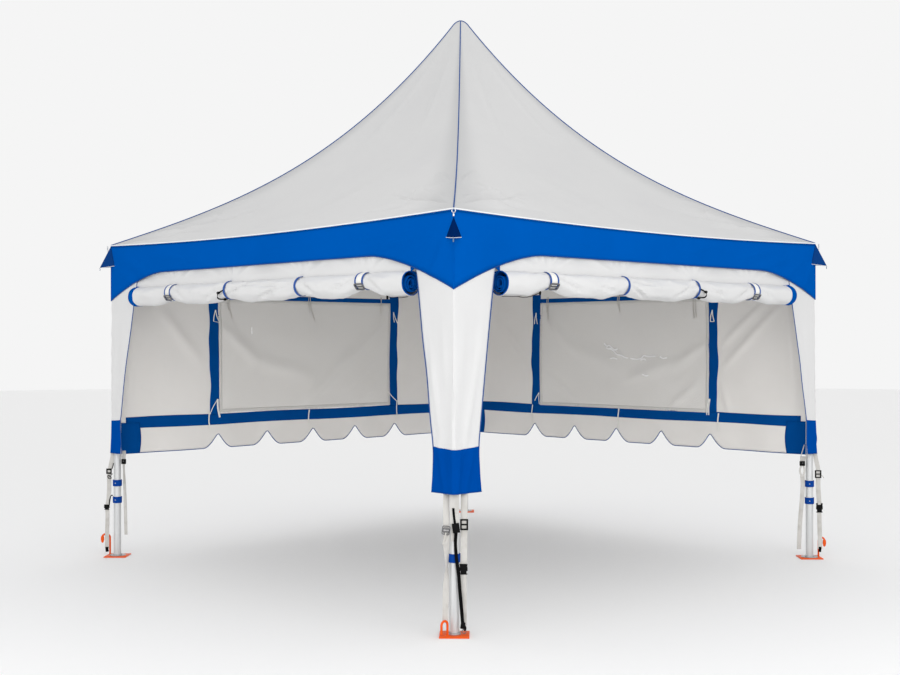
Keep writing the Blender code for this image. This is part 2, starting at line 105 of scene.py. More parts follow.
class Slot(Enum):
    """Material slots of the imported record."""

    ALUMINIUM = "aluminium"
    WIRE = "wire"
    ORANGE = "orange_steel"
    ROOF = "roof_fabric"
    WHITE = "white_fabric"
    BLUE = "blue_fabric"
    FILM = "clear_film"
    WEBBING = "webbing"


# Colours and nodes


def linear(colour: str) -> tuple[float, float, float, float]:
    """Turn an sRGB hex colour into linear values.

    Args:
        colour: Six hex digits after a hash sign.

    Returns:
        Linear red, green and blue, with an opacity of one.
    """
    shares = [int(colour[start:start + 2], 16) / 255 for start in (1, 3, 5)]
    curved = [s / 12.92 if s <= 0.04045 else ((s + 0.055) / 1.055) ** 2.4 for s in shares]
    return (*curved, 1.0)


def add_node(tree: bpy.types.NodeTree, kind: str, settings: dict | None = None,
             links: dict | None = None) -> bpy.types.Node:
    """Add a node with its settings and the links into it.

    Args:
        tree: Node tree of the material.
        kind: Type of the node.
        settings: Values by the name of an option, or by a socket's name or number.
        links: Output sockets by the name or number of the input that they feed.

    Returns:
        The new node.
    """
    node = tree.nodes.new(kind)
    for key, value in (settings or {}).items():
        if isinstance(key, str) and key in node.bl_rna.properties:
            setattr(node, key, value)
        else:
            node.inputs[key].default_value = value
    for key, socket in (links or {}).items():
        tree.links.new(socket, node.inputs[key])
    return node


# Finishes


@dataclass(frozen=True)
class Look:
    """Nodes of one material, with the textures that the finishes share.

    Attributes:
        tree: The material's node tree.
        shader: Its shader.
        room: Coordinates in the piece's own space.
        flat: Coordinates on the laid-out cloth.
    """

    tree: bpy.types.NodeTree
    shader: bpy.types.Node
    room: bpy.types.NodeSocket
    flat: bpy.types.NodeSocket

    def noise(self, scale: float, detail: float, **more: float) -> bpy.types.NodeSocket:
        """Noise in the piece's own space."""
        settings = {"Scale": scale, "Detail": detail, **more}
        return add_node(self.tree, "ShaderNodeTexNoise", settings, {"Vector": self.room}).outputs["Fac"]

    def ridges(self, way: str, spacing: float, over: bpy.types.NodeSocket,
               **more: float) -> bpy.types.NodeSocket:
        """Parallel ridges across an axis, at a spacing in metres."""
        settings = {"bands_direction": way, "Scale": math.pi / 10 / spacing, **more}
        return add_node(self.tree, "ShaderNodeTexWave", settings, {"Vector": over}).outputs["Fac"]

    def spread(self, value: bpy.types.NodeSocket, source: tuple[float, float],
               target: tuple[float, float], kind: str = "LINEAR") -> bpy.types.NodeSocket:
        """Stretch a value from one range over another.

        Args:
            value: Socket with the value.
            source: The range that it comes from.
            target: The range that it goes to.
            kind: Form of the step between them.

        Returns:
            Socket with the stretched value.
        """
        settings = {"interpolation_type": kind, "From Min": source[0], "From Max": source[1],
                    "To Min": target[0], "To Max": target[1]}
        return add_node(self.tree, "ShaderNodeMapRange", settings, {"Value": value}).outputs["Result"]

    def combine(self, operation: str, first: bpy.types.NodeSocket,
                second: bpy.types.NodeSocket | float = 0.0) -> bpy.types.NodeSocket:
        """Calculate with a value and another one or a number.

        Args:
            operation: What is done with them.
            first: Socket with the first value.
            second: Socket with the second value, or a number.

        Returns:
            Socket with the result.
        """
        fixed = isinstance(second, float)
        settings = {"operation": operation, **({1: second} if fixed else {})}
        links = {0: first, **({} if fixed else {1: second})}
        return add_node(self.tree, "ShaderNodeMath", settings, links).outputs["Value"]

    def tint(self, other: str, share: bpy.types.NodeSocket) -> None:
        """Mix the colour so far towards another one.

        Args:
            other: The other colour as sRGB hex.
            share: Socket with the other colour's share.
        """
        base = self.shader.inputs["Base Color"]
        so_far = {6: base.links[0].from_socket} if base.is_linked else {}
        settings = {"data_type": "RGBA", 6: base.default_value[:], 7: linear(other)}
        mixed = add_node(self.tree, "ShaderNodeMix", settings, {0: share, **so_far})
        self.tree.links.new(mixed.outputs[2], base)

    def bump(self, height: bpy.types.NodeSocket, strength: float, depth: float,
             below: bpy.types.NodeSocket | None = None) -> bpy.types.NodeSocket:
        """Give the shader a relief.

        Args:
            height: Socket with the relief's height.
            strength: Share of it that shows.
            depth: Its full height in metres.
            below: Coarser relief that it lies on.

        Returns:
            Socket with the relief, for a finer one.
        """
        links = {"Height": height, **({"Normal": below} if below else {})}
        node = add_node(self.tree, "ShaderNodeBump", {"Strength": strength, "Distance": depth}, links)
        self.tree.links.new(node.outputs["Normal"], self.shader.inputs["Normal"])
        return node.outputs["Normal"]

    def polish(self, value: bpy.types.NodeSocket, low: float, high: float) -> None:
        """Let the roughness follow a value, between two limits."""
        self.tree.links.new(self.spread(value, (0.0, 1.0), (low, high)), self.shader.inputs["Roughness"])


@dataclass(frozen=True)
class Finish:
    """A surface finish, which makes its material once.

    Attributes:
        name: What the material is.
        colour: Its colour as sRGB hex.
        roughness: How matt it is.
        metallic: One for bare metal.
        gloss: Strength of the reflection, where it isn't a metal.
    """

    name: str
    colour: str
    roughness: float = 0.5
    metallic: float = 0.0
    gloss: float = 0.5

    def material(self) -> bpy.types.Material:
        """Make the finish's material at the first call.

        Returns:
            The material.
        """
        found = bpy.data.materials.get(self.name)
        if found:
            return found
        material = bpy.data.materials.new(self.name)
        material.use_nodes = True
        tree = material.node_tree
        shader = tree.nodes["Principled BSDF"]
        shader.inputs["Base Color"].default_value = linear(self.colour)
        shader.inputs["Roughness"].default_value = self.roughness
        shader.inputs["Metallic"].default_value = self.metallic
        if not self.metallic:
            shader.inputs["Specular IOR Level"].default_value = self.gloss
        places = add_node(tree, "ShaderNodeTexCoord").outputs
        self.pattern(Look(tree, shader, places["Object"], places["UV"]))
        return material

    def pattern(self, look: Look) -> None:
        """Add what the finish shows besides its plain colour."""


@dataclass(frozen=True)
class CoatedCloth(Finish):
    """Polyester cloth with a satin coating, as tents are sewn from.

    The coating gives a soft sheen, the threads below it a faint net, and
    folding leaves shallow wrinkles.

    Attributes:
        worn: Colour of the greyer patches.
        thread: Spacing of the drawn threads in metres. The real 0.5 mm is too
            fine to show, so every eighth thread is drawn.
        wrinkle: Depth of the soft wrinkles in metres.
        wrinkle_size: Width of one wrinkle in metres.
        sheen: Share of the soft sheen at grazing angles.
        gloss: Strength of the reflection.
    """

    worn: str = "#C9C9C9"
    thread: float = 0.004
    wrinkle: float = 0.004
    wrinkle_size: float = 0.16
    sheen: float = 0.04
    gloss: float = 0.3

    def pattern(self, look: Look) -> None:
        """Add a net of threads, soft wrinkles and slightly greyer patches.

        Args:
            look: The material's nodes.
        """
        patches = look.noise(1.3, 5.0, Roughness=0.6)
        look.tint(self.worn, look.spread(patches, (0.42, 0.75), (0.0, 0.55)))
        creased = look.noise(0.5 / self.wrinkle_size, 3.0, Roughness=0.45, Distortion=0.6)
        soft = look.bump(creased, 1.0, self.wrinkle)
        warp, weft = (look.ridges(way, self.thread, look.flat) for way in "XY")
        look.bump(look.combine("MULTIPLY", warp, weft), 0.5, 0.0002, soft)
        look.shader.inputs["Sheen Weight"].default_value = self.sheen
        look.shader.inputs["Sheen Roughness"].default_value = 0.5


@dataclass(frozen=True)
class RoofCloth(CoatedCloth):
    """Roof cloth, greyer towards the hip seams as painted shade.

    Attributes:
        seam: Colour of the painted shade at the hips.
        width: Width of a panel in its UV map, in metres.
    """

    seam: str = "#B2B3B4"
    width: float = 4.07

    def pattern(self, look: Look) -> None:
        """Paint shade on the cloth towards both edges of its UV map.

        Args:
            look: The material's nodes.
        """
        super().pattern(look)
        across = add_node(look.tree, "ShaderNodeSeparateXYZ", {}, {"Vector": look.flat}).outputs["X"]
        away = look.combine("ABSOLUTE", look.combine("SUBTRACT", across, self.width / 2))
        reach = (0.33 * self.width, 0.5 * self.width)
        # Painted shade: the colour darkens towards the hips at both edges
        look.tint(self.seam, look.spread(away, reach, (0.0, 0.55), "SMOOTHERSTEP"))


@dataclass(frozen=True)
class Webbing(Finish):
    """Woven polyester webbing, ribbed across and slightly soiled along it.

    Attributes:
        rib: Spacing of the ribs in metres, drawn twice as coarse as the real
            1.5 mm so that they show.
        soiled: Colour of its dirtier parts.
    """

    rib: float = 0.003
    soiled: str = "#B9B6AE"

    def pattern(self, look: Look) -> None:
        """Add ribs as a bump and a blotchy soiling.

        Args:
            look: The material's nodes.
        """
        look.tint(self.soiled, look.spread(look.noise(14.0, 4.0), (0.45, 0.8), (0.0, 0.8)))
        look.bump(look.ridges("Z", self.rib, look.room, Distortion=0.4), 0.6, 0.0005)


@dataclass(frozen=True)
class DrawnMetal(Finish):
    """Extruded or drawn metal, with fine lines along its length.

    Attributes:
        grain: Width of the drawn lines in metres. Real die lines are near
            0.2 mm, and a twentieth of them is drawn.
        dull: Colour where it is rubbed or greyer.
    """

    grain: float = 0.004
    dull: str = "#A9ABAD"

    def pattern(self, look: Look) -> None:
        """Add long thin lines in colour, gloss and relief.

        Args:
            look: The material's nodes.
        """
        drawn = add_node(look.tree, "ShaderNodeMapping", {"Scale": (1.0, 1.0, 0.02)}, {"Vector": look.room})
        lines = add_node(look.tree, "ShaderNodeTexNoise", {"Scale": 1 / self.grain, "Detail": 3.0},
                         {"Vector": drawn.outputs["Vector"]}).outputs["Fac"]
        look.tint(self.dull, look.spread(lines, (0.35, 0.75), (0.0, 0.6)))
        look.polish(lines, self.roughness - 0.06, self.roughness + 0.10)
        look.bump(lines, 0.15, 0.0003)


@dataclass(frozen=True)
class GrainyCoat(Finish):
    """Paint, powder coat, plating, cast skin or moulded plastic with a fine grain.

    Attributes:
        grain: Size of one grain in metres.
        depth: Height of the grain in metres.
        rubbed: Colour of the rubbed or dirtier places.
        wear: How much of it is rubbed.
    """

    grain: float = 0.002
    depth: float = 0.0002
    rubbed: str = "#333333"
    wear: float = 0.25

    def pattern(self, look: Look) -> None:
        """Add a fine grain, with blotches that are rubbed or dirty.

        Args:
            look: The material's nodes.
        """
        blotch = look.noise(16.0, 6.0, Roughness=0.65)
        look.tint(self.rubbed, look.spread(blotch, (0.5, 0.78), (0.0, self.wear)))
        look.polish(blotch, self.roughness - 0.08, self.roughness + 0.12)
        look.bump(look.noise(1 / self.grain, 2.0), 0.5, self.depth)


@dataclass(frozen=True)
class WindowFilm(Finish):
    """Clear flexible film, which stays a little wavy and hazy.

    Attributes:
        opacity: Share of the film's own haze.
    """

    opacity: float = 0.12

    def pattern(self, look: Look) -> None:
        """Add shallow waves and finer crinkles that catch the light.

        Args:
            look: The material's nodes.
        """
        broad = look.bump(look.noise(3.0, 1.0, Distortion=0.8), 1.0, 0.006)
        look.bump(look.noise(14.0, 1.0, Distortion=1.0), 0.5, 0.0006, broad)
        look.shader.inputs["Alpha"].default_value = self.opacity
        look.shader.inputs["IOR"].default_value = 1.5


# Woven polyester with a white coating: satin, faintly grey where it is handled
# The roof's copy also darkens towards its hips, as painted shade
ROOF_CLOTH = RoofCloth("coated_polyester_roof", "#D0D0D0", 0.55, worn="#C9C9CA", wrinkle=0.003)
WHITE_CLOTH = CoatedCloth("coated_polyester_white", "#DADADA", 0.55, worn="#D4D4D4")
# The walls' inner side: warmer, as it glows with the light from outside
WALL_CLOTH = CoatedCloth("coated_polyester_wall", "#EFECE8", 0.6, worn="#E7E3DE", wrinkle=0.006)
# The same cloth dyed blue: strong, matt colour. The darker copy is painted shade on the strips and corner
# patches inside the tent, and it also draws the dark line under the welt
BLUE_CLOTH = CoatedCloth("coated_polyester_blue", "#0055AF", 0.6, worn="#004FA4", wrinkle=0.003,
                         sheen=0.0, gloss=0.0)
SHADED_BLUE_CLOTH = CoatedCloth("coated_polyester_dark_blue", "#044A92", 0.6, worn="#034184", wrinkle=0.003,
                         sheen=0.0, gloss=0.0)
# Cuffs and corner hoods: darker copies of the same blue cloth, as painted shade
CUFF_CLOTH = CoatedCloth("coated_polyester_cuff", "#00469C", 0.6, worn="#00408F", wrinkle=0.003,
                         sheen=0.0, gloss=0.0)
HOOD_CLOTH = CoatedCloth("coated_polyester_hood", "#03245A", 0.6, worn="#031E4C", wrinkle=0.002,
                         sheen=0.0, gloss=0.0)
# Hoods other than the front right one: lighter, as painted light that shines through them from behind; as
# matt
BACKLIT_HOOD_CLOTH = CoatedCloth("sun_faded_hood_polyester", "#103E7E", 0.6, worn="#0C3268", wrinkle=0.002,
                          sheen=0.0, gloss=0.0)
# Broad binding of the rolled edges: plain strong blue that draws the spirals
BINDING = CoatedCloth("blue_edge_binding", "#0050A6", 0.6, worn="#093E84", wrinkle=0.001,
                      sheen=0.0, gloss=0.0)
# Woven piping: matt, greyer blue than the cloth
PIPING = CoatedCloth("woven_blue_piping", "#224E92", 0.7, worn="#22427A", wrinkle=0.001, gloss=0.1)
# Smooth plastic welt: the brightest white line of the roof
WELT = CoatedCloth("white_keder_welt", "#F1F2F3", 0.45, worn="#DFE4EA", wrinkle=0.001)
# Woven hem around the film: pale and matt, a shade darker than the wall
HEM_TAPE = CoatedCloth("pale_hem_tape", "#D8D6D2", 0.65, worn="#C8C5C0", wrinkle=0.001)
# Thin tapes that hang over the film: greyer than the tie tapes
GREYER_TAPE = CoatedCloth("greyer_cotton_tape", "#C6C2BB", 0.8, worn="#A5A099", wrinkle=0.001)
# Cotton tape of the ties and of the broad roll straps: soft off-white
TIE_TAPE = CoatedCloth("white_cotton_tape", "#F0EFEA", 0.8, worn="#DAD8D0", wrinkle=0.001)
# Clear window film: glossy, with broad soft reflections
CLEAR_FILM = WindowFilm("clear_window_film", "#FCFCFA", 0.12)
# Sharp creases in the film, drawn white and shiny as painted glints of light
FILM_CREASE_GLINT = GrainyCoat("film_crease_painted_glint", "#FFFFFF", 0.3, grain=0.004, rubbed="#F0EEEA")
# Woven webbing: matt with cross ribs, pale and a little soiled, or dyed
PALE_WEBBING = Webbing("pale_polyester_webbing", "#CCCAC6", 0.8, gloss=0.2, soiled="#B4B1AB")
BLACK_WEBBING = Webbing("black_polyester_webbing", "#0A0A0B", 0.8, gloss=0.05, soiled="#161617")
BLUE_WEBBING = Webbing("blue_polyester_webbing", "#1C4E9C", 0.75, soiled="#173F80")
# Tape ends below the hoods: greyish blue, matt
GREY_CORD = Webbing("grey_cotton_tape", "#5F7690", 0.8, soiled="#4C6078")
# Plating painted dark grey as a reflection of darker surroundings, with soft highlights
DARK_REFLECTING_PLATING = GrainyCoat("dull_nickel_plating", "#77777A", 0.32, 1.0, grain=0.004, depth=0.00005,
                          rubbed="#4E4E50")
# Anodised extrusions: pale satin metal with lines along the tube
LEG_TUBE = DrawnMetal("anodised_aluminium_tube", "#D2D3D3", 0.42, 0.5, dull="#BFC1C3")
FRAME_TUBE = DrawnMetal("anodised_aluminium_beam", "#D2D4D6", 0.38, 1.0, dull="#B8BABC")
# Sand-cast fittings: dull, slightly pitted metal
CAST_METAL = GrainyCoat("cast_aluminium_fitting", "#B4B6B8", 0.5, 1.0, grain=0.003, rubbed="#8C8E90")
# Screws, rings and clamps: bluish grey, between satin and bright
ZINC = GrainyCoat("zinc_plated_steel", "#B9BBBD", 0.38, 1.0, grain=0.004, depth=0.0001, rubbed="#8E9092")
# Snap hooks: bright, with sharp small highlights
CHROME = GrainyCoat("nickel_plated_steel", "#D9DADB", 0.16, 1.0, grain=0.004, depth=0.00005,
                    rubbed="#A8A9AA")
# Stays: dull galvanised strands along the rope
WIRE_ROPE = DrawnMetal("galvanised_wire_rope", "#B5B7B9", 0.45, 1.0, grain=0.002, dull="#8D8F91")
# Powder coat: orange, semi-gloss with a slight orange-peel grain
ORANGE_COAT = GrainyCoat("orange_powder_coat", "#E8590F", 0.45, gloss=0.2, grain=0.003,
                         rubbed="#B9480F", wear=0.5)
# Moulded nylon and acetal: dark, satin, finely textured
BLACK_PLASTIC = GrainyCoat("black_moulded_nylon", "#060607", 0.5, gloss=0.12, grain=0.0015, rubbed="#161618")
BLUE_PLASTIC = GrainyCoat("blue_moulded_nylon", "#003E92", 0.6, gloss=0.08, grain=0.0015, rubbed="#0A4A9A")
# Studio floor: even, almost white, without a highlight of its own
STUDIO_FLOOR = GrainyCoat("pale_studio_floor", "#F5F5F5", 0.7, grain=0.02, rubbed="#F2F2F2")


# Mesh tools


def cloth_grid(columns: int, rows: int, size: tuple[float, float], place: Place) -> Mesh:
    """Sheet of cloth laid in space, with its flat size as its UV map.

    Args:
        columns: Number of cells across.
        rows: Number of cells along.
        size: Flat width and length in metres.
        place: Gives the point for each share across and along.

    Returns:
        The open sheet.
    """
    bm = bmesh.new()
    layer = bm.loops.layers.uv.new("UVMap")
    bmesh.ops.create_grid(bm, x_segments=columns, y_segments=rows, size=0.5)
    for face in bm.faces:
        for loop in face.loops:
            spot = loop.vert.co
            loop[layer].uv = ((spot.x + 0.5) * size[0], (spot.y + 0.5) * size[1])
    for vert in bm.verts:
        vert.co = place(vert.co.x + 0.5, vert.co.y + 0.5)
    return bm


def shift(x: float = 0.0, y: float = 0.0, z: float = 0.0) -> Matrix:
    """Move along the axes."""
    return Matrix.Translation((x, y, z))


def turned(angle: float, axis: str = "Z") -> Matrix:
    """Turn about an axis, in radians."""
    return Matrix.Rotation(angle, 4, axis)


def facing(heading: Vector, forward: str, upward: str) -> Matrix:
    """Turn that points one axis of a piece along a heading."""
    return heading.to_track_quat(forward, upward).to_matrix().to_4x4()


def round_section(radius: float, sides: int = 8) -> list[tuple[float, float]]:
    """Outline of a round cord or wire."""
    angles = [2 * math.pi * step / sides for step in range(sides)]
    return [(radius * math.cos(a), radius * math.sin(a)) for a in angles]


def flat_section(width: float, thickness: float) -> list[tuple[float, float]]:
    """Outline of webbing or tape with softened edges.

    Args:
        width: Width of the webbing.
        thickness: Its thickness.

    Returns:
        Points around the outline, as pairs.
    """
    w, t = width / 2, thickness / 2
    e = t * 0.6
    return [(-w, -e), (-w + e, -t), (0.0, -t), (w - e, -t), (w, -e),
            (w, e), (w - e, t), (0.0, t), (-w + e, t), (-w, e)]


def sweep(path: Sequence[Vector], section: Sequence[tuple[float, float]],
          side: Vector | Sequence[Vector], closed: bool = False) -> Mesh:
    """Carry an outline along a path as a closed solid.

    Args:
        path: Points of the centre line.
        section: Outline as pairs, along the side direction and square to it.
        side: Direction of the outline's width, one or one for each point.
        closed: True where the path is a loop.

    Returns:
        The swept solid.
    """
    bm = bmesh.new()
    count = len(path)
    rings: list[list[bmesh.types.BMVert]] = []
    made = bmesh.ops.create_circle(bm, segments=len(section), radius=1.0)
    ring = made["verts"]
    for index, point in enumerate(path):
        if index:
            edges = [edge for edge in {e for v in ring for e in v.link_edges}
                     if all(v in ring for v in edge.verts)]
            grown = bmesh.ops.extrude_edge_only(bm, edges=edges)["geom"]
            fresh = {v for v in grown if isinstance(v, bmesh.types.BMVert)}
            ring = [next(e.other_vert(v) for e in v.link_edges if e.other_vert(v) in fresh)
                    for v in ring]
        before = path[(index - 1) % count] if closed or index else path[0]
        after = path[(index + 1) % count] if closed or index < count - 1 else path[-1]
        along = (after - before).normalized()
        wide = side[index] if isinstance(side, (list, tuple)) else side
        wide = (wide - along * wide.dot(along)).normalized()
        thick = along.cross(wide)
        for vert, (a, b) in zip(ring, section):
            vert.co = point + wide * a + thick * b
        rings.append(ring)
    if closed:
        ends = [e for r in (rings[0], rings[-1]) for e in bm.edges if all(v in r for v in e.verts)]
        bmesh.ops.bridge_loops(bm, edges=ends)
    else:
        bmesh.ops.contextual_create(bm, geom=rings[0])
        bmesh.ops.contextual_create(bm, geom=rings[-1])
    bmesh.ops.recalc_face_normals(bm, faces=bm.faces)
    return bm


def cord(path: Sequence[Vector], radius: float, side: Vector = BACK, sides: int = 8,
         closed: bool = False) -> Mesh:
    """Round cord, wire or rod along a path."""
    return sweep(path, round_section(radius, sides), side, closed)


def tape(path: Sequence[Vector], width: float, thickness: float,
         side: Vector | Sequence[Vector] = RIGHT) -> Mesh:
    """Flat tape or webbing along a path."""
    return sweep(path, flat_section(width, thickness), side)


def lathe(outline: Sequence[tuple[float, float]], steps: int = 32, hollow: bool = False) -> Mesh:
    """Turn an outline of (radius, height) pairs around the vertical axis.

    Args:
        outline: The profile, from axis to axis, or a ring where it is hollow.
        steps: Number of steps in the full turn.
        hollow: True where the outline closes on itself away from the axis.

    Returns:
        The turned solid.
    """
    bm = bmesh.new()
    verts = [bm.verts.new((radius, 0.0, height)) for radius, height in outline]
    pairs = list(zip(verts, verts[1:]))
    if hollow:
        pairs.append((verts[-1], verts[0]))
    edges = [bm.edges.new(pair) for pair in pairs]
    bmesh.ops.spin(bm, geom=verts + edges, cent=(0, 0, 0), axis=(0, 0, 1), angle=2 * math.pi,
                   steps=steps, use_merge=True)
    bmesh.ops.remove_doubles(bm, verts=bm.verts, dist=MERGE_DISTANCE)
    bmesh.ops.recalc_face_normals(bm, faces=bm.faces)
    return bm


def block(size: Sequence[float], bevel: float, segments: int = 2,
          centre: Sequence[float] = (0.0, 0.0, 0.0)) -> Mesh:
    """Block with rounded edges.

    Args:
        size: Its width, depth and height.
        bevel: Radius of its edges.
        segments: Number of faces across an edge.
        centre: Its middle.

    Returns:
        The block.
    """
    bm = bmesh.new()
    bmesh.ops.create_cube(bm, size=1.0, matrix=Matrix.Translation(centre) @ Matrix.Diagonal((*size, 1.0)))
    bmesh.ops.bevel(bm, geom=bm.edges[:] + bm.verts[:], offset=bevel, segments=segments, profile=0.5,
                    affect="EDGES", material=-1)
    return bm


def moved(bm: Mesh, *steps: Matrix) -> Mesh:
    """Apply transforms to a mesh, the first one first."""
    for step in steps:
        bm.transform(step)
    return bm


def gathered(parts: Iterable[Mesh]) -> Mesh:
    """Put several meshes into one.

    Args:
        parts: The meshes, which are used up.

    Returns:
        The joint mesh.
    """
    whole = bmesh.new()
    for part in parts:
        held = bpy.data.meshes.new("held")
        part.to_mesh(held)
        part.free()
        whole.from_mesh(held)
        bpy.data.meshes.remove(held)
    return whole


def smooth_curve(points: Sequence[Sequence[float]], steps: int = 6) -> list[Vector]:
    """Smooth line through points.

    Args:
        points: The points that it passes.
        steps: Number of pieces between two of them.

    Returns:
        Points of the line.
    """
    knots = [Vector(p) for p in points]
    knots = [knots[0] * 2 - knots[1], *knots, knots[-1] * 2 - knots[-2]]
    line = []
    for a, b, c, d in zip(knots, knots[1:], knots[2:], knots[3:]):
        for step in range(steps):
            t = step / steps
            line.append(b + (c - a) * t / 2 + (a * 2 - b * 5 + c * 4 - d) * t * t / 2
                        + (b * 3 - a - c * 3 + d) * t ** 3 / 2)
    line.append(knots[-2])
    return line


def rounded_loop(width: float, height: float, radius: float, steps: int = 4) -> list[Vector]:
    """Loop of points around a rounded rectangle that stands in the XZ plane.

    Args:
        width: Width of the rectangle.
        height: Its height.
        radius: Radius of its corners.
        steps: Number of pieces in a corner.

    Returns:
        Points of the loop.
    """
    loop = []
    for quarter, (sx, sz) in enumerate(((1, 1), (-1, 1), (-1, -1), (1, -1))):
        centre = Vector((sx * (width / 2 - radius), 0.0, sz * (height / 2 - radius)))
        for step in range(steps + 1):
            angle = quarter * QUARTER + QUARTER * step / steps
            loop.append(centre + Vector((radius * math.cos(angle), 0.0, radius * math.sin(angle))))
    return loop


def dress(name: str, bm: Mesh, finish: Finish, slot: Slot, replaces: Sequence[str] = (),
          thickness: float = 0.0, offset: float = -1.0) -> bpy.types.Object:
    """Make a finished piece that rides on the tent.

    Args:
        name: Name of the piece.
        bm: Its mesh, which is used up.
        finish: Its finish.
        slot: The record's slot of the piece; not used.
        replaces: CAD nodes that it stands for.
        thickness: Thickness that an open sheet gets.
        offset: Side of the thickness, from -1 to 1.

    Returns:
        The piece's object.
    """
    mesh = bpy.data.meshes.new(name)
    bm.to_mesh(mesh)
    bm.free()
    mesh.materials.append(finish.material())
    mesh.shade_smooth()
    mesh.set_sharp_from_angle(angle=SHARP_ANGLE)
    piece = bpy.data.objects.new(name, mesh)
    bpy.context.scene.collection.objects.link(piece)
    if thickness:
        depth = piece.modifiers.new("thickness", "SOLIDIFY")
        depth.thickness = thickness
        depth.offset = offset
    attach(piece, "root")
    if replaces:
        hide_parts(*replaces)
    LOG.info("%s: %d faces", name, len(mesh.polygons))
    return piece


# Shape of the tent and of its cloth


@dataclass(frozen=True)
class Crease:
    """A soft ridge in cloth, along a line in the cloth's own plane.

    Attributes:
        a0: First coordinate of its beginning.
        b0: Second coordinate of its beginning.
        a1: First coordinate of its end.
        b1: Second coordinate of its end.
        width: Half its width in metres.
        height: How far it stands out.
    """

    a0: float
    b0: float
    a1: float
    b1: float
    width: float
    height: float

    def relief(self, a: float, b: float) -> float:
        """Height of the ridge at a point of the cloth.

        Args:
            a: First coordinate of the point.
            b: Second coordinate.

        Returns:
            How far it stands out there, nought beside its ends.
        """
        run_a, run_b = self.a1 - self.a0, self.b1 - self.b0
        reach = run_a ** 2 + run_b ** 2
        along = ((a - self.a0) * run_a + (b - self.b0) * run_b) / reach
        if not 0.0 < along < 1.0:
            return 0.0
        off = ((a - self.a0) * run_b - (b - self.b0) * run_a) / math.sqrt(reach)
        return self.height * math.exp(-(off / self.width) ** 2) * math.sin(math.pi * along) ** 0.7


def creased(*rows: Sequence[float]) -> tuple[Crease, ...]:
    """Creases from rows of their values."""
    return tuple(Crease(*row) for row in rows)


def relief(creases: Iterable[Crease], a: float, b: float) -> float:
    """Summed height of several creases at a point."""
    return sum(crease.relief(a, b) for crease in creases)


def ease(value: float) -> float:
    """Smooth step from nought to one."""
    value = min(1.0, max(0.0, value))
    return value * value * (3 - 2 * value)


def denser(across: float) -> float:
    """Place from -1 to 1 across a side, with closer steps towards its ends."""
    return across * 0.6 + 0.4 * math.sin(across * QUARTER)


def along(levels: Sequence[float], values: Sequence[float], level: float) -> float:
    """Value between the given ones, in straight steps.

    Args:
        levels: Rising places.
        values: Value at each of them.
        level: Place to look at.

    Returns:
        The value there.
    """
    for low, high, first, last in zip(levels, levels[1:], values, values[1:]):
        if level <= high:
            return first + (last - first) * max(0.0, (level - low) / (high - low))
    return values[-1]


@dataclass(frozen=True)
class TentShape:
    """Main dimensions of the tent, the same as in its CAD source.

    Attributes:
        half: Half the spacing of the legs.
        frame_face: Distance of the beams' outer face from the axis.
        wall_face: Distance of the headers.
        drape_face: Distance of the drapes.
        band_face: Distance of the bands.
        eave_middle: Height of the eaves between the corners.
        eave_rise: How much higher the corners are.
        cone_top: Height at which the hips' curve would meet.
        tip_top: Height of the rounded tip.
        tip_curve: Curvature of the tip.
        tip_radius: Distance at which the tip begins.
        panel_dip: How far a panel sags between its hips.
        band_low: Height of the bands' lower edge in the middle.
        band_points: Height of the lower edge at each corner.
        band_flat: Where the lower edge begins to fall.
        band_curve: Power of its fall.
        wall_low: Height of the hung walls' lower edge.
    """

    half: float = 2.0
    frame_face: float = 2.03
    wall_face: float = 2.0323
    drape_face: float = 2.0346
    band_face: float = 2.0369
    eave_middle: float = 2.515
    eave_rise: float = 0.034
    cone_top: float = 4.42
    tip_top: float = 4.378
    tip_curve: float = 9.2
    tip_radius: float = 0.08
    panel_dip: float = 0.05
    band_low: float = 2.305
    band_points: tuple[float, ...] = (2.072, 2.097, 2.085, 2.097)
    band_flat: float = 1.25
    band_curve: float = 1.6
    wall_low: float = 0.835

    def leg_place(self, corner: Corner) -> Matrix:
        """Place of a leg, from a piece made around the vertical axis."""
        return corner.turn @ shift(self.half, -self.half)

    def hip_height(self, radius: float) -> float:
        """Height of a hip at a distance from the tent's axis.

        Args:
            radius: The distance.

        Returns:
            Height of the roof's underside there.
        """
        share = 1 - radius / (self.band_face * math.sqrt(2))
        corner = self.eave_middle + self.eave_rise
        cone = corner + (self.cone_top - corner) * (share + share ** 3) / 2
        if radius > self.tip_radius:
            return cone
        return min(cone, self.tip_top - self.tip_curve * radius ** 2)

    def roof_height(self, out: float, across: float) -> float:
        """Height of the roof's underside, out from the axis and across a panel.

        Args:
            out: Distance from the tent's axis.
            across: Share across the panel, from -1 to 1.

        Returns:
            The height.
        """
        share = out / self.band_face
        dip = self.eave_rise * share + self.panel_dip * math.sin(math.pi * share)
        return self.hip_height(out * math.sqrt(2)) - dip * (1 - across ** 2)

    def eave_height(self, place: float) -> float:
        """Height of the roof's edge at a place along a side."""
        return self.roof_height(self.band_face, min(1.0, abs(place) / self.band_face))

    def band_bottom(self, place: float, side: Side) -> float:
        """Lower edge of a band: level in the middle, falling to each corner.

        Args:
            place: Place along the side.
            side: Which side.

        Returns:
            Height of the edge.
        """
        run = max(0.0, (abs(place) - self.band_flat) / (self.band_face - self.band_flat))
        point = self.band_points[side.value if place > 0 else side.value - 1]
        return self.band_low - (self.band_low - point) * run ** self.band_curve


# Roof and eaves


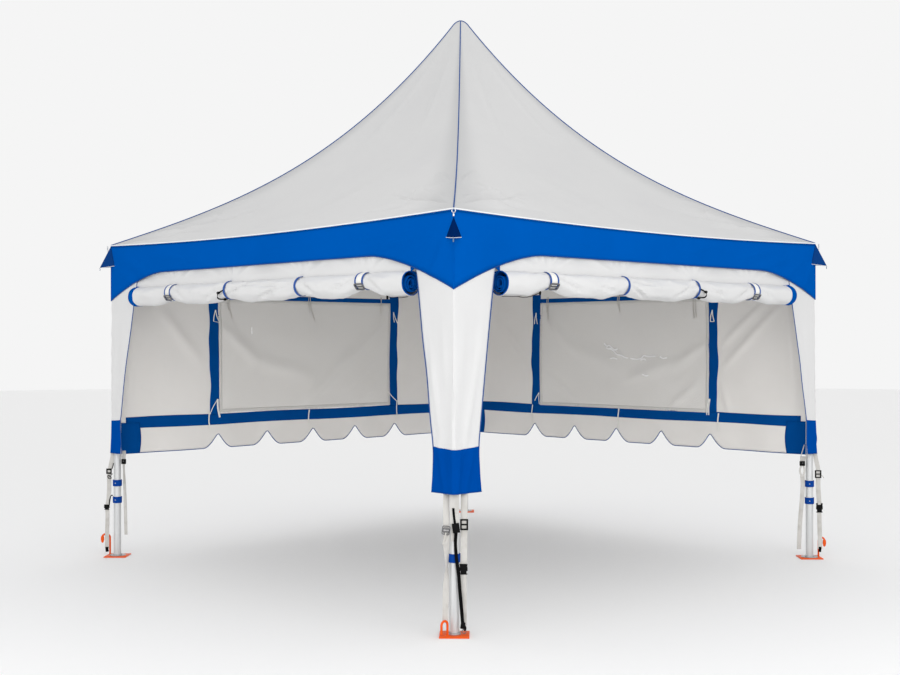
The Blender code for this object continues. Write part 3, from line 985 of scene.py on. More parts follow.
@dataclass
class Roof:
    """Four concave panels with piping on the hips and a welt along the eaves.

    Attributes:
        shape: Dimensions of the tent.
        cells: Cells across a panel and up it.
        flat: Size of a panel laid flat.
        area: Its area.
        cloth: Thickness of the cloth.
        lift: Distance of the cloth above the underside.
        piping: Radius of the piping.
        welt: Radius of the welt.
        tip: Distance of a panel's upper end from the axis.
        creases: Folds, as (distance along the eave, distance from the axis).
    """

    shape: TentShape
    cells: tuple[int, int] = (220, 110)
    flat: tuple[float, float] = (4.07, 2.85)
    area: float = 5.80
    cloth: float = 0.0012
    lift: float = 0.0040
    piping: float = 0.0042
    welt: float = 0.0045
    tip: float = 0.002
    creases: tuple[Crease, ...] = creased(
        (1.95, 1.97, 1.35, 1.86, 0.022, -0.0200),
        (1.92, 1.96, 1.05, 1.68, 0.024, 0.0260),
        (1.86, 1.91, 0.76, 1.42, 0.026, -0.0300),
        (1.80, 1.86, 1.22, 1.56, 0.022, 0.0240),
        (1.62, 1.72, 0.90, 1.55, 0.024, -0.0240),
        (1.50, 1.55, 1.10, 1.30, 0.024, 0.0200),
        (1.48, 1.77, 0.98, 1.80, 0.022, -0.0220),
        (1.36, 1.50, 0.98, 1.63, 0.022, 0.0210),
        (1.20, 1.30, 0.95, 0.60, 0.060, 0.0070),
        (0.66, 0.70, 0.02, 0.68, 0.020, 0.0100),
        (0.04, 0.10, 0.34, 0.80, 0.035, 0.0090),
        (0.50, 0.95, 0.05, 1.75, 0.110, 0.0100),
    )

    def panel_point(self, u: float, v: float) -> Vector:
        """Point of the front panel, from the eave at v 0 to the tip at v 1.

        Args:
            u: Share across the panel.
            v: Share from the eave to the tip.

        Returns:
            The point.
        """
        share = v - 0.6 * math.sin(2 * math.pi * v) / (2 * math.pi)
        out = self.tip + (self.shape.band_face - self.tip) * (1 - share)
        across = denser(2 * u - 1)
        x = (out - 0.0003) * across
        height = self.shape.roof_height(out, across) + self.lift
        fade = ease((1 - abs(across)) * 16) * ease(v * 14)
        hip = out - abs(x)
        pucker = 0.0034 * math.sin(out * 62 + 3 * math.sin(out * 7)) * math.exp(-hip / 0.08) * ease(out)
        height += (relief(self.creases, abs(x), out) + pucker) * fade
        height += 0.005 * noise.noise(Vector((x * 2.3, out * 1.7, 4.0))) * fade * ease((1 - share) * 3)
        return Vector((x, -out, height))

    def build(self) -> None:
        """Build panels, hip piping and eave trim."""
        trims = [self.build_hips(), *self.build_eaves()]
        bm = cloth_grid(*self.cells, self.flat, self.panel_point)
        for side in Side:
            panel = dress(f"roof_cloth_{side.label}", moved(bm.copy(), side.turn), ROOF_CLOTH, Slot.ROOF,
                          [f"roof_{side.label}"], self.cloth)
            trims = []
        bm.free()

    def hip_line(self) -> list[Vector]:
        """Line on top of the front right hip.

        Returns:
            Points from the tip down to the eave's corner.
        """
        end = self.shape.band_face * math.sqrt(2)
        line = []
        for step in range(61):
            radius = 0.004 + (end - 0.004) * (step / 60) ** 1.5
            height = self.shape.hip_height(radius) + self.lift + self.piping * 0.55
            line.append(Vector((radius * DIAGONAL, -radius * DIAGONAL, height)))
        return line

    def build_hips(self) -> bpy.types.Object:
        """Piping along the four hips.

        Returns:
            The piping's object.
        """
        line = self.hip_line()
        across = Vector((DIAGONAL, DIAGONAL, 0.0))
        cords = [moved(cord(line, self.piping, across), corner.turn) for corner in Corner]
        return dress("hip_piping", gathered(cords), PIPING, Slot.BLUE)

    def build_eaves(self) -> list[bpy.types.Object]:
        """White welt around the roof's edge and the dark line below it.

        Returns:
            Both objects.
        """
        face = self.shape.band_face
        places = [face * (step / 24 - 1) for step in range(49)]
        welts, lines = [], []
        for side in Side:
            edge = [Vector((x, -face - 0.001, self.shape.eave_height(x) + 0.0035)) for x in places]
            welts.append(moved(cord(edge, self.welt, UP), side.turn))
            below = [point - Vector((0.0, 0.0012, 0.0105)) for point in edge]
            lines.append(moved(tape(below, 0.008, 0.0016, UP), side.turn))
        return [dress("eave_welt", gathered(welts), WELT, Slot.WHITE),
                dress("eave_dark_line", gathered(lines), SHADED_BLUE_CLOTH, Slot.BLUE)]


@dataclass
class EaveBands:
    """Blue bands along the eaves, shaped towards the corners.

    Attributes:
        shape: Dimensions of the tent.
        cells: Cells along a band and up it.
        flat: Size of a band laid flat.
        area: Its area.
        cloth: Thickness of the cloth.
        piping: Radius of the piping.
        creases: Folds, as (place, height).
    """

    shape: TentShape
    cells: tuple[int, int] = (190, 10)
    flat: tuple[float, float] = (4.07, 0.46)
    area: float = 1.02
    cloth: float = 0.0012
    piping: float = 0.0034
    creases: tuple[Crease, ...] = creased(
        (2.02, 2.50, 1.55, 2.26, 0.026, 0.0140),
        (2.00, 2.40, 1.82, 2.14, 0.024, 0.0125),
        (1.98, 2.47, 1.25, 2.34, 0.026, 0.0125),
        (1.60, 2.50, 0.90, 2.38, 0.030, 0.0090),
        (-2.02, 2.49, -1.45, 2.30, 0.026, 0.0140),
        (-2.00, 2.38, -1.60, 2.20, 0.024, 0.0115),
        (-1.50, 2.46, -0.60, 2.36, 0.030, 0.0090),
        (0.75, 2.48, 0.00, 2.34, 0.034, 0.0060),
    )

    def place(self, u: float, v: float, side: Side) -> Vector:
        """Point of a side's band, facing front, from its lower edge at v 0 to the eave.

        Args:
            u: Share along the side.
            v: Share from the lower edge up.
            side: Which side's corners it has.

        Returns:
            The point.
        """
        x = (self.shape.band_face - 0.0006) * denser(2 * u - 1)
        low = self.shape.band_bottom(x, side)
        z = low + (self.shape.eave_height(x) - low) * v
        edge = ease((self.shape.band_face - abs(x)) * 9)
        belly = 0.0035 * math.sin(math.pi * v) + relief(self.creases, x, z) * (1 - v ** 4)
        belly += 0.0020 * (1 - v) * (1 + math.sin(x * 9.0 + 2.0 * math.sin(x * 2.1)))
        return Vector((x, -(self.shape.band_face - 0.0004) - belly * edge, z))

    def build(self) -> None:
        """Build the bands, their edge piping and the corner seams."""
        trims = self.build_trims()
        for side in Side:
            bm = cloth_grid(*self.cells, self.flat, lambda u, v, s=side: self.place(u, v, s))
            band = dress(f"band_cloth_{side.label}", moved(bm, side.turn), BLUE_CLOTH, Slot.BLUE,
                         [f"band_{side.label}"], self.cloth)
            trims = []

    def build_trims(self) -> list[bpy.types.Object]:
        """Build the piping of the lower edges and the seams at the corners.

        Returns:
            Both objects.
        """
        cords, seams = [], []
        face = self.shape.band_face
        high = self.shape.eave_height(face)
        for side in Side:
            edge = [self.place(step / 96, 0.0, side) for step in range(97)]
            cords.append(moved(cord(edge, self.piping, UP), side.turn))
            low = self.shape.band_points[side.value]
            seam = [Vector((face, -face, low + (high - low) * step / 10)) for step in range(11)]
            seams.append(moved(cord(seam, 0.0022, ASLANT, 6), side.turn))
        return [dress("band_piping", gathered(cords), PIPING, Slot.BLUE),
                dress("band_corner_seams", gathered(seams), BLUE_CLOTH, Slot.BLUE)]


@dataclass
class CornerHoods:
    """Small hoods that stand out from the band's corners, over a snap hook.

    Attributes:
        shape: Dimensions of the tent.
        width: Width of each half, along the band.
        reach: How far the lower edge's middle stands out.
        near_top: Top of the front right hood.
        top: Top of the others.
        low: Height of the lower edge's middle.
        hem_rise: How much higher its ends are.
        hook_level: Height of the snap hooks.
        hook_proud: How far they stand out from the band.
        near_hook_proud: The same at the front right.
        flat: Size of the cloth laid flat.
        mean_width: Mean width of the cloth laid flat.
        cells: Cells around and up.
        cloth: Thickness of the cloth.
        hem_cord: Radius of the hem.
    """

    shape: TentShape
    width: float = 0.067
    reach: float = 0.065
    near_top: float = 2.502
    top: float = 2.546
    low: float = 2.369
    hem_rise: float = 0.014
    hook_level: float = 2.517
    hook_proud: float = 0.020
    near_hook_proud: float = 0.007
    flat: tuple[float, float] = (0.24, 0.20)
    mean_width: float = 0.17
    cells: tuple[int, int] = (16, 10)
    cloth: float = 0.0016
    hem_cord: float = 0.0016

    def place(self, u: float, v: float, top: float = 0.0) -> Vector:
        """Point of a hood, from its open lower edge at v 0 to its top.

        Args:
            u: Share around the corner.
            v: Share from the lower edge up.
            top: Height of the top.

        Returns:
            The point.
        """
        face = self.shape.band_face + 0.0012
        ends = [Vector((face - self.width, -face, self.low + self.hem_rise)),
                Vector((face + self.reach, -face - self.reach, self.low)),
                Vector((face, -face + self.width, self.low + self.hem_rise))]
        part = min(1, int(u * 2))
        share = u * 2 - part
        foot = ends[part].lerp(ends[part + 1], share)
        belly = 0.006 * math.sin(math.pi * share) * math.sin(math.pi * v)
        return foot.lerp(Vector((face, -face, top)), v) + OUTWARD * belly

    def build(self) -> None:
        """Build hoods, their hems, cords and the snap hooks above them."""
        tails, hooks = [], []
        for corner in Corner:
            near = corner is Corner.FRONT_RIGHT
            top = self.near_top if near else self.top
            bm = cloth_grid(*self.cells, self.flat, lambda u, v, t=top: self.place(u, v, t))
            bmesh.ops.remove_doubles(bm, verts=bm.verts, dist=MERGE_DISTANCE)
            # The front right hood is darker, as painted shade; the others are lighter, as painted light
            # shining through them
            hood = dress(f"hood_cloth_{corner.label}", moved(bm, corner.turn),
                         HOOD_CLOTH if near else BACKLIT_HOOD_CLOTH, Slot.BLUE, [f"hood_{corner.label}"],
                         self.cloth)
            hem = [self.place(step / self.cells[0], 0.0) for step in range(self.cells[0] + 1)]
            edge = dress(f"hood_hem_{corner.label}", moved(cord(hem, self.hem_cord, UP, 6), corner.turn),
                         WELT, Slot.WHITE)
            tip = self.place(0.5, 0.0)
            tail = [tip, tip + Vector((-0.003, 0.003, -0.010)), tip + Vector((-0.001, 0.001, -0.024))]
            tails.append(moved(tape(tail, 0.008, 0.003, ASLANT), corner.turn))
            proud = self.near_hook_proud if near else self.hook_proud
            hooks.append(moved(self.snap_hook(proud), corner.turn))
        ends = dress("hood_tape_ends", gathered(tails), GREY_CORD, Slot.WEBBING)
        dress("corner_snap_hooks", gathered(hooks), CHROME, Slot.WIRE)

    def snap_hook(self, proud: float) -> Mesh:
        """Ring with a small snap hook below it, between the eave's corner and the hood.

        Args:
            proud: How far it stands out from the band.

        Returns:
            The hook at the front right corner.
        """
        face = self.shape.band_face + proud
        ring = cord(rounded_loop(0.022, 0.022, 0.0105), 0.0026, BACK, 6, True)
        body = lathe([(0.0, -0.016), (0.0045, -0.013), (0.0062, -0.004), (0.0042, 0.002), (0.0062, 0.006),
                      (0.0, 0.011)], 12)
        moved(ring, shift(z=0.021))
        return moved(gathered([ring, body]), turned(QUARTER / 2),
                     shift(face, -face, self.hook_level))


# Corner drapes, whose wings have a width at each of five levels

PLAIN_WING = (0.265, 0.255, 0.286, 0.340, 0.390)


@dataclass
class Drapes:
    """White drapes around the legs, narrowing to blue cuffs.

    Attributes:
        shape: Dimensions of the tent.
        cloth: Thickness of the cloth.
        piping: Radius of the piping.
        corner_radius: Radius of the fold at the corner.
        cuff_top: Height of a cuff's upper edge at the corner.
        cuff_height: Height of a cuff laid flat.
        flat: Size of the white cloth laid flat.
        area: Its area.
        creases: Folds, as (distance from the corner, height).
        fold_out: How far the corner's fold stands out low down.
        levels: Heights that the wings' widths are given at.
        widths: Width of the wing before the corner and of the one after it.
    """

    shape: TentShape
    cloth: float = 0.0012
    piping: float = 0.0034
    corner_radius: float = 0.001
    cuff_top: float = 1.112
    cuff_height: float = 0.262
    flat: tuple[float, float] = (0.80, 1.40)
    area: float = 0.76
    creases: tuple[Crease, ...] = creased(
        (-0.235, 1.90, -0.100, 1.10, 0.024, 0.010),
        (0.240, 1.86, 0.070, 1.05, 0.024, 0.010),
        (-0.120, 2.10, -0.060, 1.45, 0.026, 0.005),
        (0.110, 2.08, 0.050, 1.40, 0.026, 0.005),
        (-0.140, 1.18, -0.050, 0.80, 0.022, 0.014),
        (0.050, 1.16, 0.012, 0.82, 0.020, 0.013),
        (0.165, 1.16, 0.060, 0.80, 0.024, 0.013),
    )
    fold_out: dict[Corner, float] = field(default_factory=lambda: {
        Corner.FRONT_RIGHT: 0.002, Corner.BACK_RIGHT: 0.004, Corner.BACK_LEFT: 0.0, Corner.FRONT_LEFT: -0.002,
    })
    levels: tuple[float, ...] = (0.850, 1.110, 1.600, 2.190, 2.500)
    widths: dict[Corner, tuple[tuple[float, ...], tuple[float, ...]]] = field(default_factory=lambda: {
        Corner.FRONT_RIGHT: ((0.184, 0.172, 0.243, 0.330, 0.380), (0.221, 0.198, 0.262, 0.348, 0.398)),
        Corner.BACK_RIGHT: ((0.134, 0.136, 0.242, 0.376, 0.430), PLAIN_WING),
        Corner.BACK_LEFT: (PLAIN_WING, PLAIN_WING),
        Corner.FRONT_LEFT: (PLAIN_WING, (0.160, 0.148, 0.252, 0.395, 0.450)),
    })

    def wing(self, corner: Corner, after: bool, level: float) -> float:
        """Width of a wing at a height, with its steps softened.

        Args:
            corner: Which drape.
            after: True for the wing on the corner's own side.
            level: Height.

        Returns:
            The width.
        """
        values = self.widths[corner][after]
        near = [along(self.levels, values, level + step) for step in (-0.06, -0.03, 0.0, 0.03, 0.06)]
        return sum(near) / len(near)

    def surface(self, corner: Corner, level: float, run: float, proud: float = 0.0) -> Vector:
        """Point of a drape, at a distance run around the corner from its fold.

        Args:
            corner: Which drape.
            level: Height of the point.
            run: Signed distance along the cloth, negative before the corner.
            proud: How far it stands out from the cloth.

        Returns:
            The point.
        """
        radius = self.corner_radius
        arc = radius * math.pi / 4
        face = self.shape.drape_face - 0.0002
        low = ease((2.10 - level) / 0.5)
        seed = corner.value * 3.7
        wave = math.sin(run * 34 + seed + 2.2 * math.sin(level * 1.9 + seed))
        wave += 0.5 * math.sin(run * 61 - level * 4.0 + seed)
        folds = relief(self.creases, run, level) * (1.0 if corner is Corner.FRONT_RIGHT else 0.45)
        stand = proud + low * (0.0035 + 0.0026 * wave + folds)
        stand += self.fold_out[corner] * ease((1.9 - level) / 0.8) * math.exp(-(run / 0.09) ** 2)
        inner = face - radius
        if abs(run) < arc:
            angle = math.pi / 4 + run / radius
            heading = Vector((math.sin(angle), -math.cos(angle), 0.0))
            spot = Vector((inner, -inner, level)) + heading * (radius + stand)
        else:
            far = abs(run) - arc
            if run < 0:
                spot = Vector((inner - far, -face - stand, level))
            else:
                spot = Vector((face + stand, -inner + far, level))
        return spot

    def cloth_point(self, corner: Corner, u: float, level: float, proud: float = 0.0) -> Vector:
        """Point of a drape at a share u from one free edge to the other.

        Args:
            corner: Which drape.
            u: Share across the drape.
            level: Height of the point.
            proud: How far it stands out from the cloth.

        Returns:
            The point.
        """
        shorter = self.corner_radius * (1 - math.pi / 4)
        before = self.wing(corner, False, level) - shorter
        after = self.wing(corner, True, level) - shorter
        return self.surface(corner, level, -before + (before + after) * u, proud)

    def build(self) -> None:
        """Build drapes, cuffs and their edge piping."""
        for corner in Corner:
            self.build_drape(corner)

    def build_drape(self, corner: Corner) -> None:
        """Build one drape with its cuff and piping.

        Args:
            corner: Which drape.
        """
        low, high = self.levels[0], self.levels[-1]
        top = self.cuff_top

        def drape(u: float, v: float) -> Vector:
            """Point of the white cloth."""
            return self.cloth_point(corner, u, top - 0.01 + (high - top + 0.01) * v)

        def cuff(u: float, v: float) -> Vector:
            """Point of the cuff, which flares a little at its foot."""
            flare = 0.010 * (1 - v) ** 2
            edge = top + 0.013 * abs(2 * u - 1) ** 1.5
            return self.cloth_point(corner, u, low + (edge - low) * v, 0.0014 + flare)

        bm = cloth_grid(44, 60, (0.66, 1.40), drape)
        cloth = dress(f"drape_cloth_{corner.label}", moved(bm, corner.turn), WHITE_CLOTH, Slot.WHITE,
                      [f"drape_{corner.label}"], self.cloth)
        bm = cloth_grid(44, 18, (0.50, self.cuff_height), cuff)
        # The cuff in a darker blue: painted shade
        blue = dress(f"cuff_{corner.label}", moved(bm, corner.turn), CUFF_CLOTH, Slot.BLUE,
                     thickness=self.cloth * 1.6)
        cords = []
        for u in (0.0, 1.0):
            levels = [low + (2.40 - low) * step / 60 for step in range(61)]
            edge = [self.cloth_point(corner, u, z, 0.0012 - 0.0046 * ease((z - 2.12) / 0.08)) for z in levels]
            cords.append(cord(edge, self.piping, ASLANT, 6))
        hem = [cuff(step / 44, 0.0) for step in range(45)]
        cords.append(cord(hem, 0.0022, UP, 6))
        trim = dress(f"drape_piping_{corner.label}", moved(gathered(cords), corner.turn), PIPING,
                     Slot.BLUE)


# Walls


@dataclass
class HungWall:
    """A hung wall with a window, blue strips, ties and a notched hem.

    Attributes:
        shape: Dimensions of the tent.
        side: Side that it hangs on.
        notches: Middles of the notches.
        strips: Edges of both upright strips.
        band: Edges of the level strip.
        patches: Places of the corner patches' inner edges.
        creases: Folds, as (place, height).
        tapes: Rows of place, upper end, lower end's place, lower end and width.
        marks: Sharp creases in the film, drawn white as painted glints, as lines of (place, height).
        drift: How far the folds and marks are shifted along the wall.
        face: Distance of the cloth from the tent's axis.
        end: Half the width of the wall.
        top: Height of its upper edge.
        cloth: Thickness of the cloth.
        notch_rise: Height of a notch.
        notch_half: Half its width at the foot.
        flat: Size of the cloth laid flat.
        area: Its area without the window.
        cells: Cells across and up.
        window_low: Lower edge of the window.
        window_high: Its upper edge.
        strip_top: Upper end of the upright strips.
        strip_reach: Half the length of the level strip.
        hem_width: Width of the hem around the window.
        piping: Radius of the piping.
    """

    shape: TentShape
    side: Side
    notches: tuple[float, ...]
    strips: tuple[tuple[float, float], tuple[float, float]]
    band: tuple[float, float]
    patches: tuple[float, float]
    creases: tuple[Crease, ...]
    tapes: tuple[tuple[float, float, float, float, float], ...]
    marks: tuple[tuple[tuple[float, float], ...], ...]
    drift: float
    face: float = 2.0313
    end: float = 1.982
    top: float = 2.498
    cloth: float = 0.0010
    notch_rise: float = 0.123
    notch_half: float = 0.142
    flat: tuple[float, float] = (3.97, 1.665)
    area: float = 4.5
    cells: tuple[int, int] = (264, 72)
    window_low: float = 1.140
    window_high: float = 2.135
    strip_top: float = 2.215
    strip_reach: float = 1.91
    hem_width: float = 0.030
    piping: float = 0.0034

    def hem(self, x: float) -> float:
        """Height of the lower edge, with its notches.

        Args:
            x: Place along the wall.

        Returns:
            The height.
        """
        nearest = min(self.notches, key=lambda place: abs(place - x))
        away = math.hypot(x - nearest, 0.010) - 0.010
        run = max(0.0, 1 - away / self.notch_half)
        return self.shape.wall_low + self.notch_rise * run ** 2 * (1.15 - 0.15 * run ** 2)

    def fold(self, x: float, z: float) -> float:
        """How far the hanging cloth swings in at a point.

        Args:
            x: Place along the wall.
            z: Height.

        Returns:
            The distance, nought at the eave and the legs.
        """
        sides = ease((self.end - abs(x)) * 5)
        top = ease((2.44 - z) * 4)
        broad = 0.022 * (1 + noise.noise(Vector((x * 1.5 + z * 0.8, z * 1.2, 3.0 + self.side.value))))
        hem = 0.006 * ease((1.25 - z) * 3) * (1 + math.sin(x * 12 + self.side.value))
        return (broad + hem + relief(self.creases, x - self.drift, z)) * sides * top

    def point(self, x: float, z: float, inward: float = 0.0) -> Vector:
        """Point of the cloth, or a little inside it."""
        return Vector((x, -self.face + self.fold(x, z) + inward, z))

    def wave(self, z: float, seed: float) -> float:
        """Sideways waviness of an upright strip."""
        return 0.006 * math.sin(z * 11 + seed) + 0.003 * math.sin(z * 23 + 2 * seed)

    def sheet(self, low: Callable[[float], float], high: Callable[[float], float],
              left: Callable[[float], float], right: Callable[[float], float], cells: tuple[int, int],
              inward: float = 0.0) -> Mesh:
        """Sheet between curved edges, laid on the cloth.

        Args:
            low: Lower edge by place.
            high: Upper edge by place.
            left: Left edge by height.
            right: Right edge by height.
            cells: Number of cells across and up.
            inward: Distance inside the cloth.

        Returns:
            The sheet, turned to the wall's side.
        """
        def place(u: float, v: float) -> Vector:
            """Point at shares between the edges.

            Args:
                u: Share across.
                v: Share from the lower edge up.

            Returns:
                The point.
            """
            x = left(0.0) + (right(0.0) - left(0.0)) * u
            z = low(x) + (high(x) - low(x)) * v
            x = left(z) + (right(z) - left(z)) * u
            return self.point(x, z, inward)

        size = (abs(right(0.0) - left(0.0)), abs(high(0.0) - low(0.0)))
        return moved(cloth_grid(*cells, size, place), self.side.turn)

    def build(self) -> None:
        """Build the wall with all that is sewn and tied to it."""
        cloth = self.build_cloth()
        trims = [self.build_strips(), self.build_corner_patches(), self.build_hems(),
                 self.build_piping()]
        self.build_window()
        self.build_ties()

    def build_cloth(self) -> bpy.types.Object:
        """Build the cloth with its window opening.

        Returns:
            The cloth's object.
        """
        def place(u: float, v: float) -> Vector:
            """Point at shares across and up the wall.

            Args:
                u: Share across.
                v: Share from the lower edge up.

            Returns:
                The point.
            """
            x = self.end * (2 * u - 1)
            low = self.hem(x)
            z = low + (self.top - low) * v
            return self.point(x, z)

        bm = cloth_grid(*self.cells, self.flat, place)
        left, right = self.strips[0][1], self.strips[1][0]
        gone = [f for f in bm.faces if left < f.calc_center_median().x < right
                and self.window_low < f.calc_center_median().z < self.window_high]
        bmesh.ops.delete(bm, geom=gone, context="FACES")
        return dress(f"wall_cloth_{self.side.label}", moved(bm, self.side.turn), WALL_CLOTH, Slot.WHITE,
                     [f"wall_{self.side.label}"], self.cloth, 0.0)

    def build_strips(self) -> bpy.types.Object:
        """Build the blue strips that stand and lie around the window.

        Returns:
            The strips' object.
        """
        low, high = self.band
        parts = [self.sheet(lambda x: low + 0.003 * math.sin(x * 4), lambda x: high + 0.003 * math.sin(x * 5),
                            lambda _: -self.strip_reach, lambda _: self.strip_reach, (160, 5))]
        for seed, (left, right) in enumerate(self.strips):
            parts.append(self.sheet(lambda _: high - 0.005, lambda _: self.strip_top,
                                    lambda z, p=left, s=seed: p + self.wave(z, s),
                                    lambda z, p=right, s=seed: p + self.wave(z + 0.1, s), (6, 60)))
        outer = (self.strips[0][0], self.strips[1][1])
        parts.append(self.sheet(lambda _: self.window_high - 0.002, lambda _: self.window_high + 0.040,
                                lambda _: outer[0] + 0.02, lambda _: outer[1] - 0.02, (90, 3)))
        # Darker blue than the bands: painted shade inside the tent
        return dress(f"wall_strips_{self.side.label}", gathered(parts), SHADED_BLUE_CLOTH, Slot.BLUE,
                     thickness=0.0044, offset=0.0)

    def build_corner_patches(self) -> bpy.types.Object:
        """Build the blue reinforcement at the wall's two lower corners.

        Returns:
            The patches' object.
        """
        parts = []
        for sign, inner in zip((-1, 1), self.patches):
            def edge(z: float, s: int = sign, reach: float = inner) -> float:
                """Curved inner edge of a patch."""
                return s * (reach - 0.012 * math.sin((z - 0.84) * 14))

            outer = sign * (self.end - 0.001)
            ends = (lambda _, p=outer: p, edge)
            left, right = ends if sign < 0 else ends[::-1]
            parts.append(self.sheet(lambda _: self.shape.wall_low - 0.002, lambda _: self.band[1] - 0.045,
                                    left, right, (10, 14), 0.0004))
        # Darker blue than the bands: painted shade inside the tent
        return dress(f"wall_corner_patches_{self.side.label}", gathered(parts), SHADED_BLUE_CLOTH, Slot.BLUE,
                     thickness=0.0050, offset=0.0)

    def build_hems(self) -> bpy.types.Object:
        """Build the pale hem around the window.

        Returns:
            The hem's object.
        """
        left, right = self.strips[0][1] - 0.006, self.strips[1][0] + 0.006
        low, high = self.window_low, self.window_high
        width = self.hem_width
        parts = []
        for x in (left, right - width):
            parts.append(self.sheet(lambda _: low, lambda _: high, lambda _, p=x: p,
                                    lambda _, p=x: p + width, (3, 50), 0.0008))
        for z in (low, high - width):
            parts.append(self.sheet(lambda _, p=z: p, lambda _, p=z: p + width, lambda _: left,
                                    lambda _: right, (80, 3), 0.0008))
        return dress(f"window_hem_{self.side.label}", gathered(parts), HEM_TAPE, Slot.WHITE,
                     thickness=0.0030, offset=0.0)

    def build_piping(self) -> bpy.types.Object:
        """Build the piping along the notched hem.

        Returns:
            The piping's object.
        """
        edge = [self.point(self.end * (step / 130 - 1), self.hem(self.end * (step / 130 - 1)))
                for step in range(261)]
        line = moved(cord(edge, self.piping, BACK, 6), self.side.turn)
        return dress(f"wall_piping_{self.side.label}", line, PIPING, Slot.BLUE)

    def build_window(self) -> None:
        """Build the clear film and the cloth flap that hangs outside it."""
        label = self.side.label
        left, right = self.strips[0][1] - 0.008, self.strips[1][0] + 0.008
        low, high = self.window_low, self.window_high
        bounds = (lambda _: low, lambda _: high, lambda _: left, lambda _: right)
        film = dress(f"window_film_{label}", self.sheet(*bounds, (90, 46), 0.0022), CLEAR_FILM, Slot.FILM,
                     [f"window_{label}"], 0.0006)
        flap = dress(f"window_flap_{label}", self.sheet(*bounds, (90, 46), -0.0010), WALL_CLOTH,
                     Slot.WHITE, thickness=0.0010)
        # White tapes along the film's creases: painted glints
        lines = [[self.point(p.x + self.drift, p.z, 0.0030)
                  for p in smooth_curve([(x, 0.0, z) for x, z in mark], 5)] for mark in self.marks]
        marks = [moved(tape(line, 0.0110, 0.0012, UP), self.side.turn) for line in lines]
        creased = dress(f"film_creases_{label}", gathered(marks), FILM_CREASE_GLINT, Slot.FILM)

    def build_ties(self) -> None:
        """Build the tapes, those that hang over the film and those that tie it."""
        label = self.side.label
        ties, hanging = [], []
        for x, top, end, low, width in self.tapes:
            bow = 0.05 * (top - low)
            middle = ((x + end) / 2 + bow, 0.0, (top + low) / 2)
            line = smooth_curve([(x, 0.0, top), middle, (end, 0.0, low)], 4)
            path = [self.point(p.x, p.z, 0.006) for p in line]
            strip = moved(tape(path, width, 0.0012, Vector((1, 0, 0.02))), self.side.turn)
            (hanging if top > self.window_high else ties).append(strip)
        for name, parts, finish in (("tie_tapes", ties, TIE_TAPE), ("hanging_tapes", hanging, GREYER_TAPE)):
            tapes = dress(f"{name}_{label}", gathered(parts), finish, Slot.WEBBING)


class Strap(Enum):
    """Kinds of strap around a rolled wall."""

    BUCKLED = "white strap with blue edges and a plated ring"
    NARROW = "narrow blue strap"
    LOOPED = "narrow blue strap with a black cord loop and toggle"


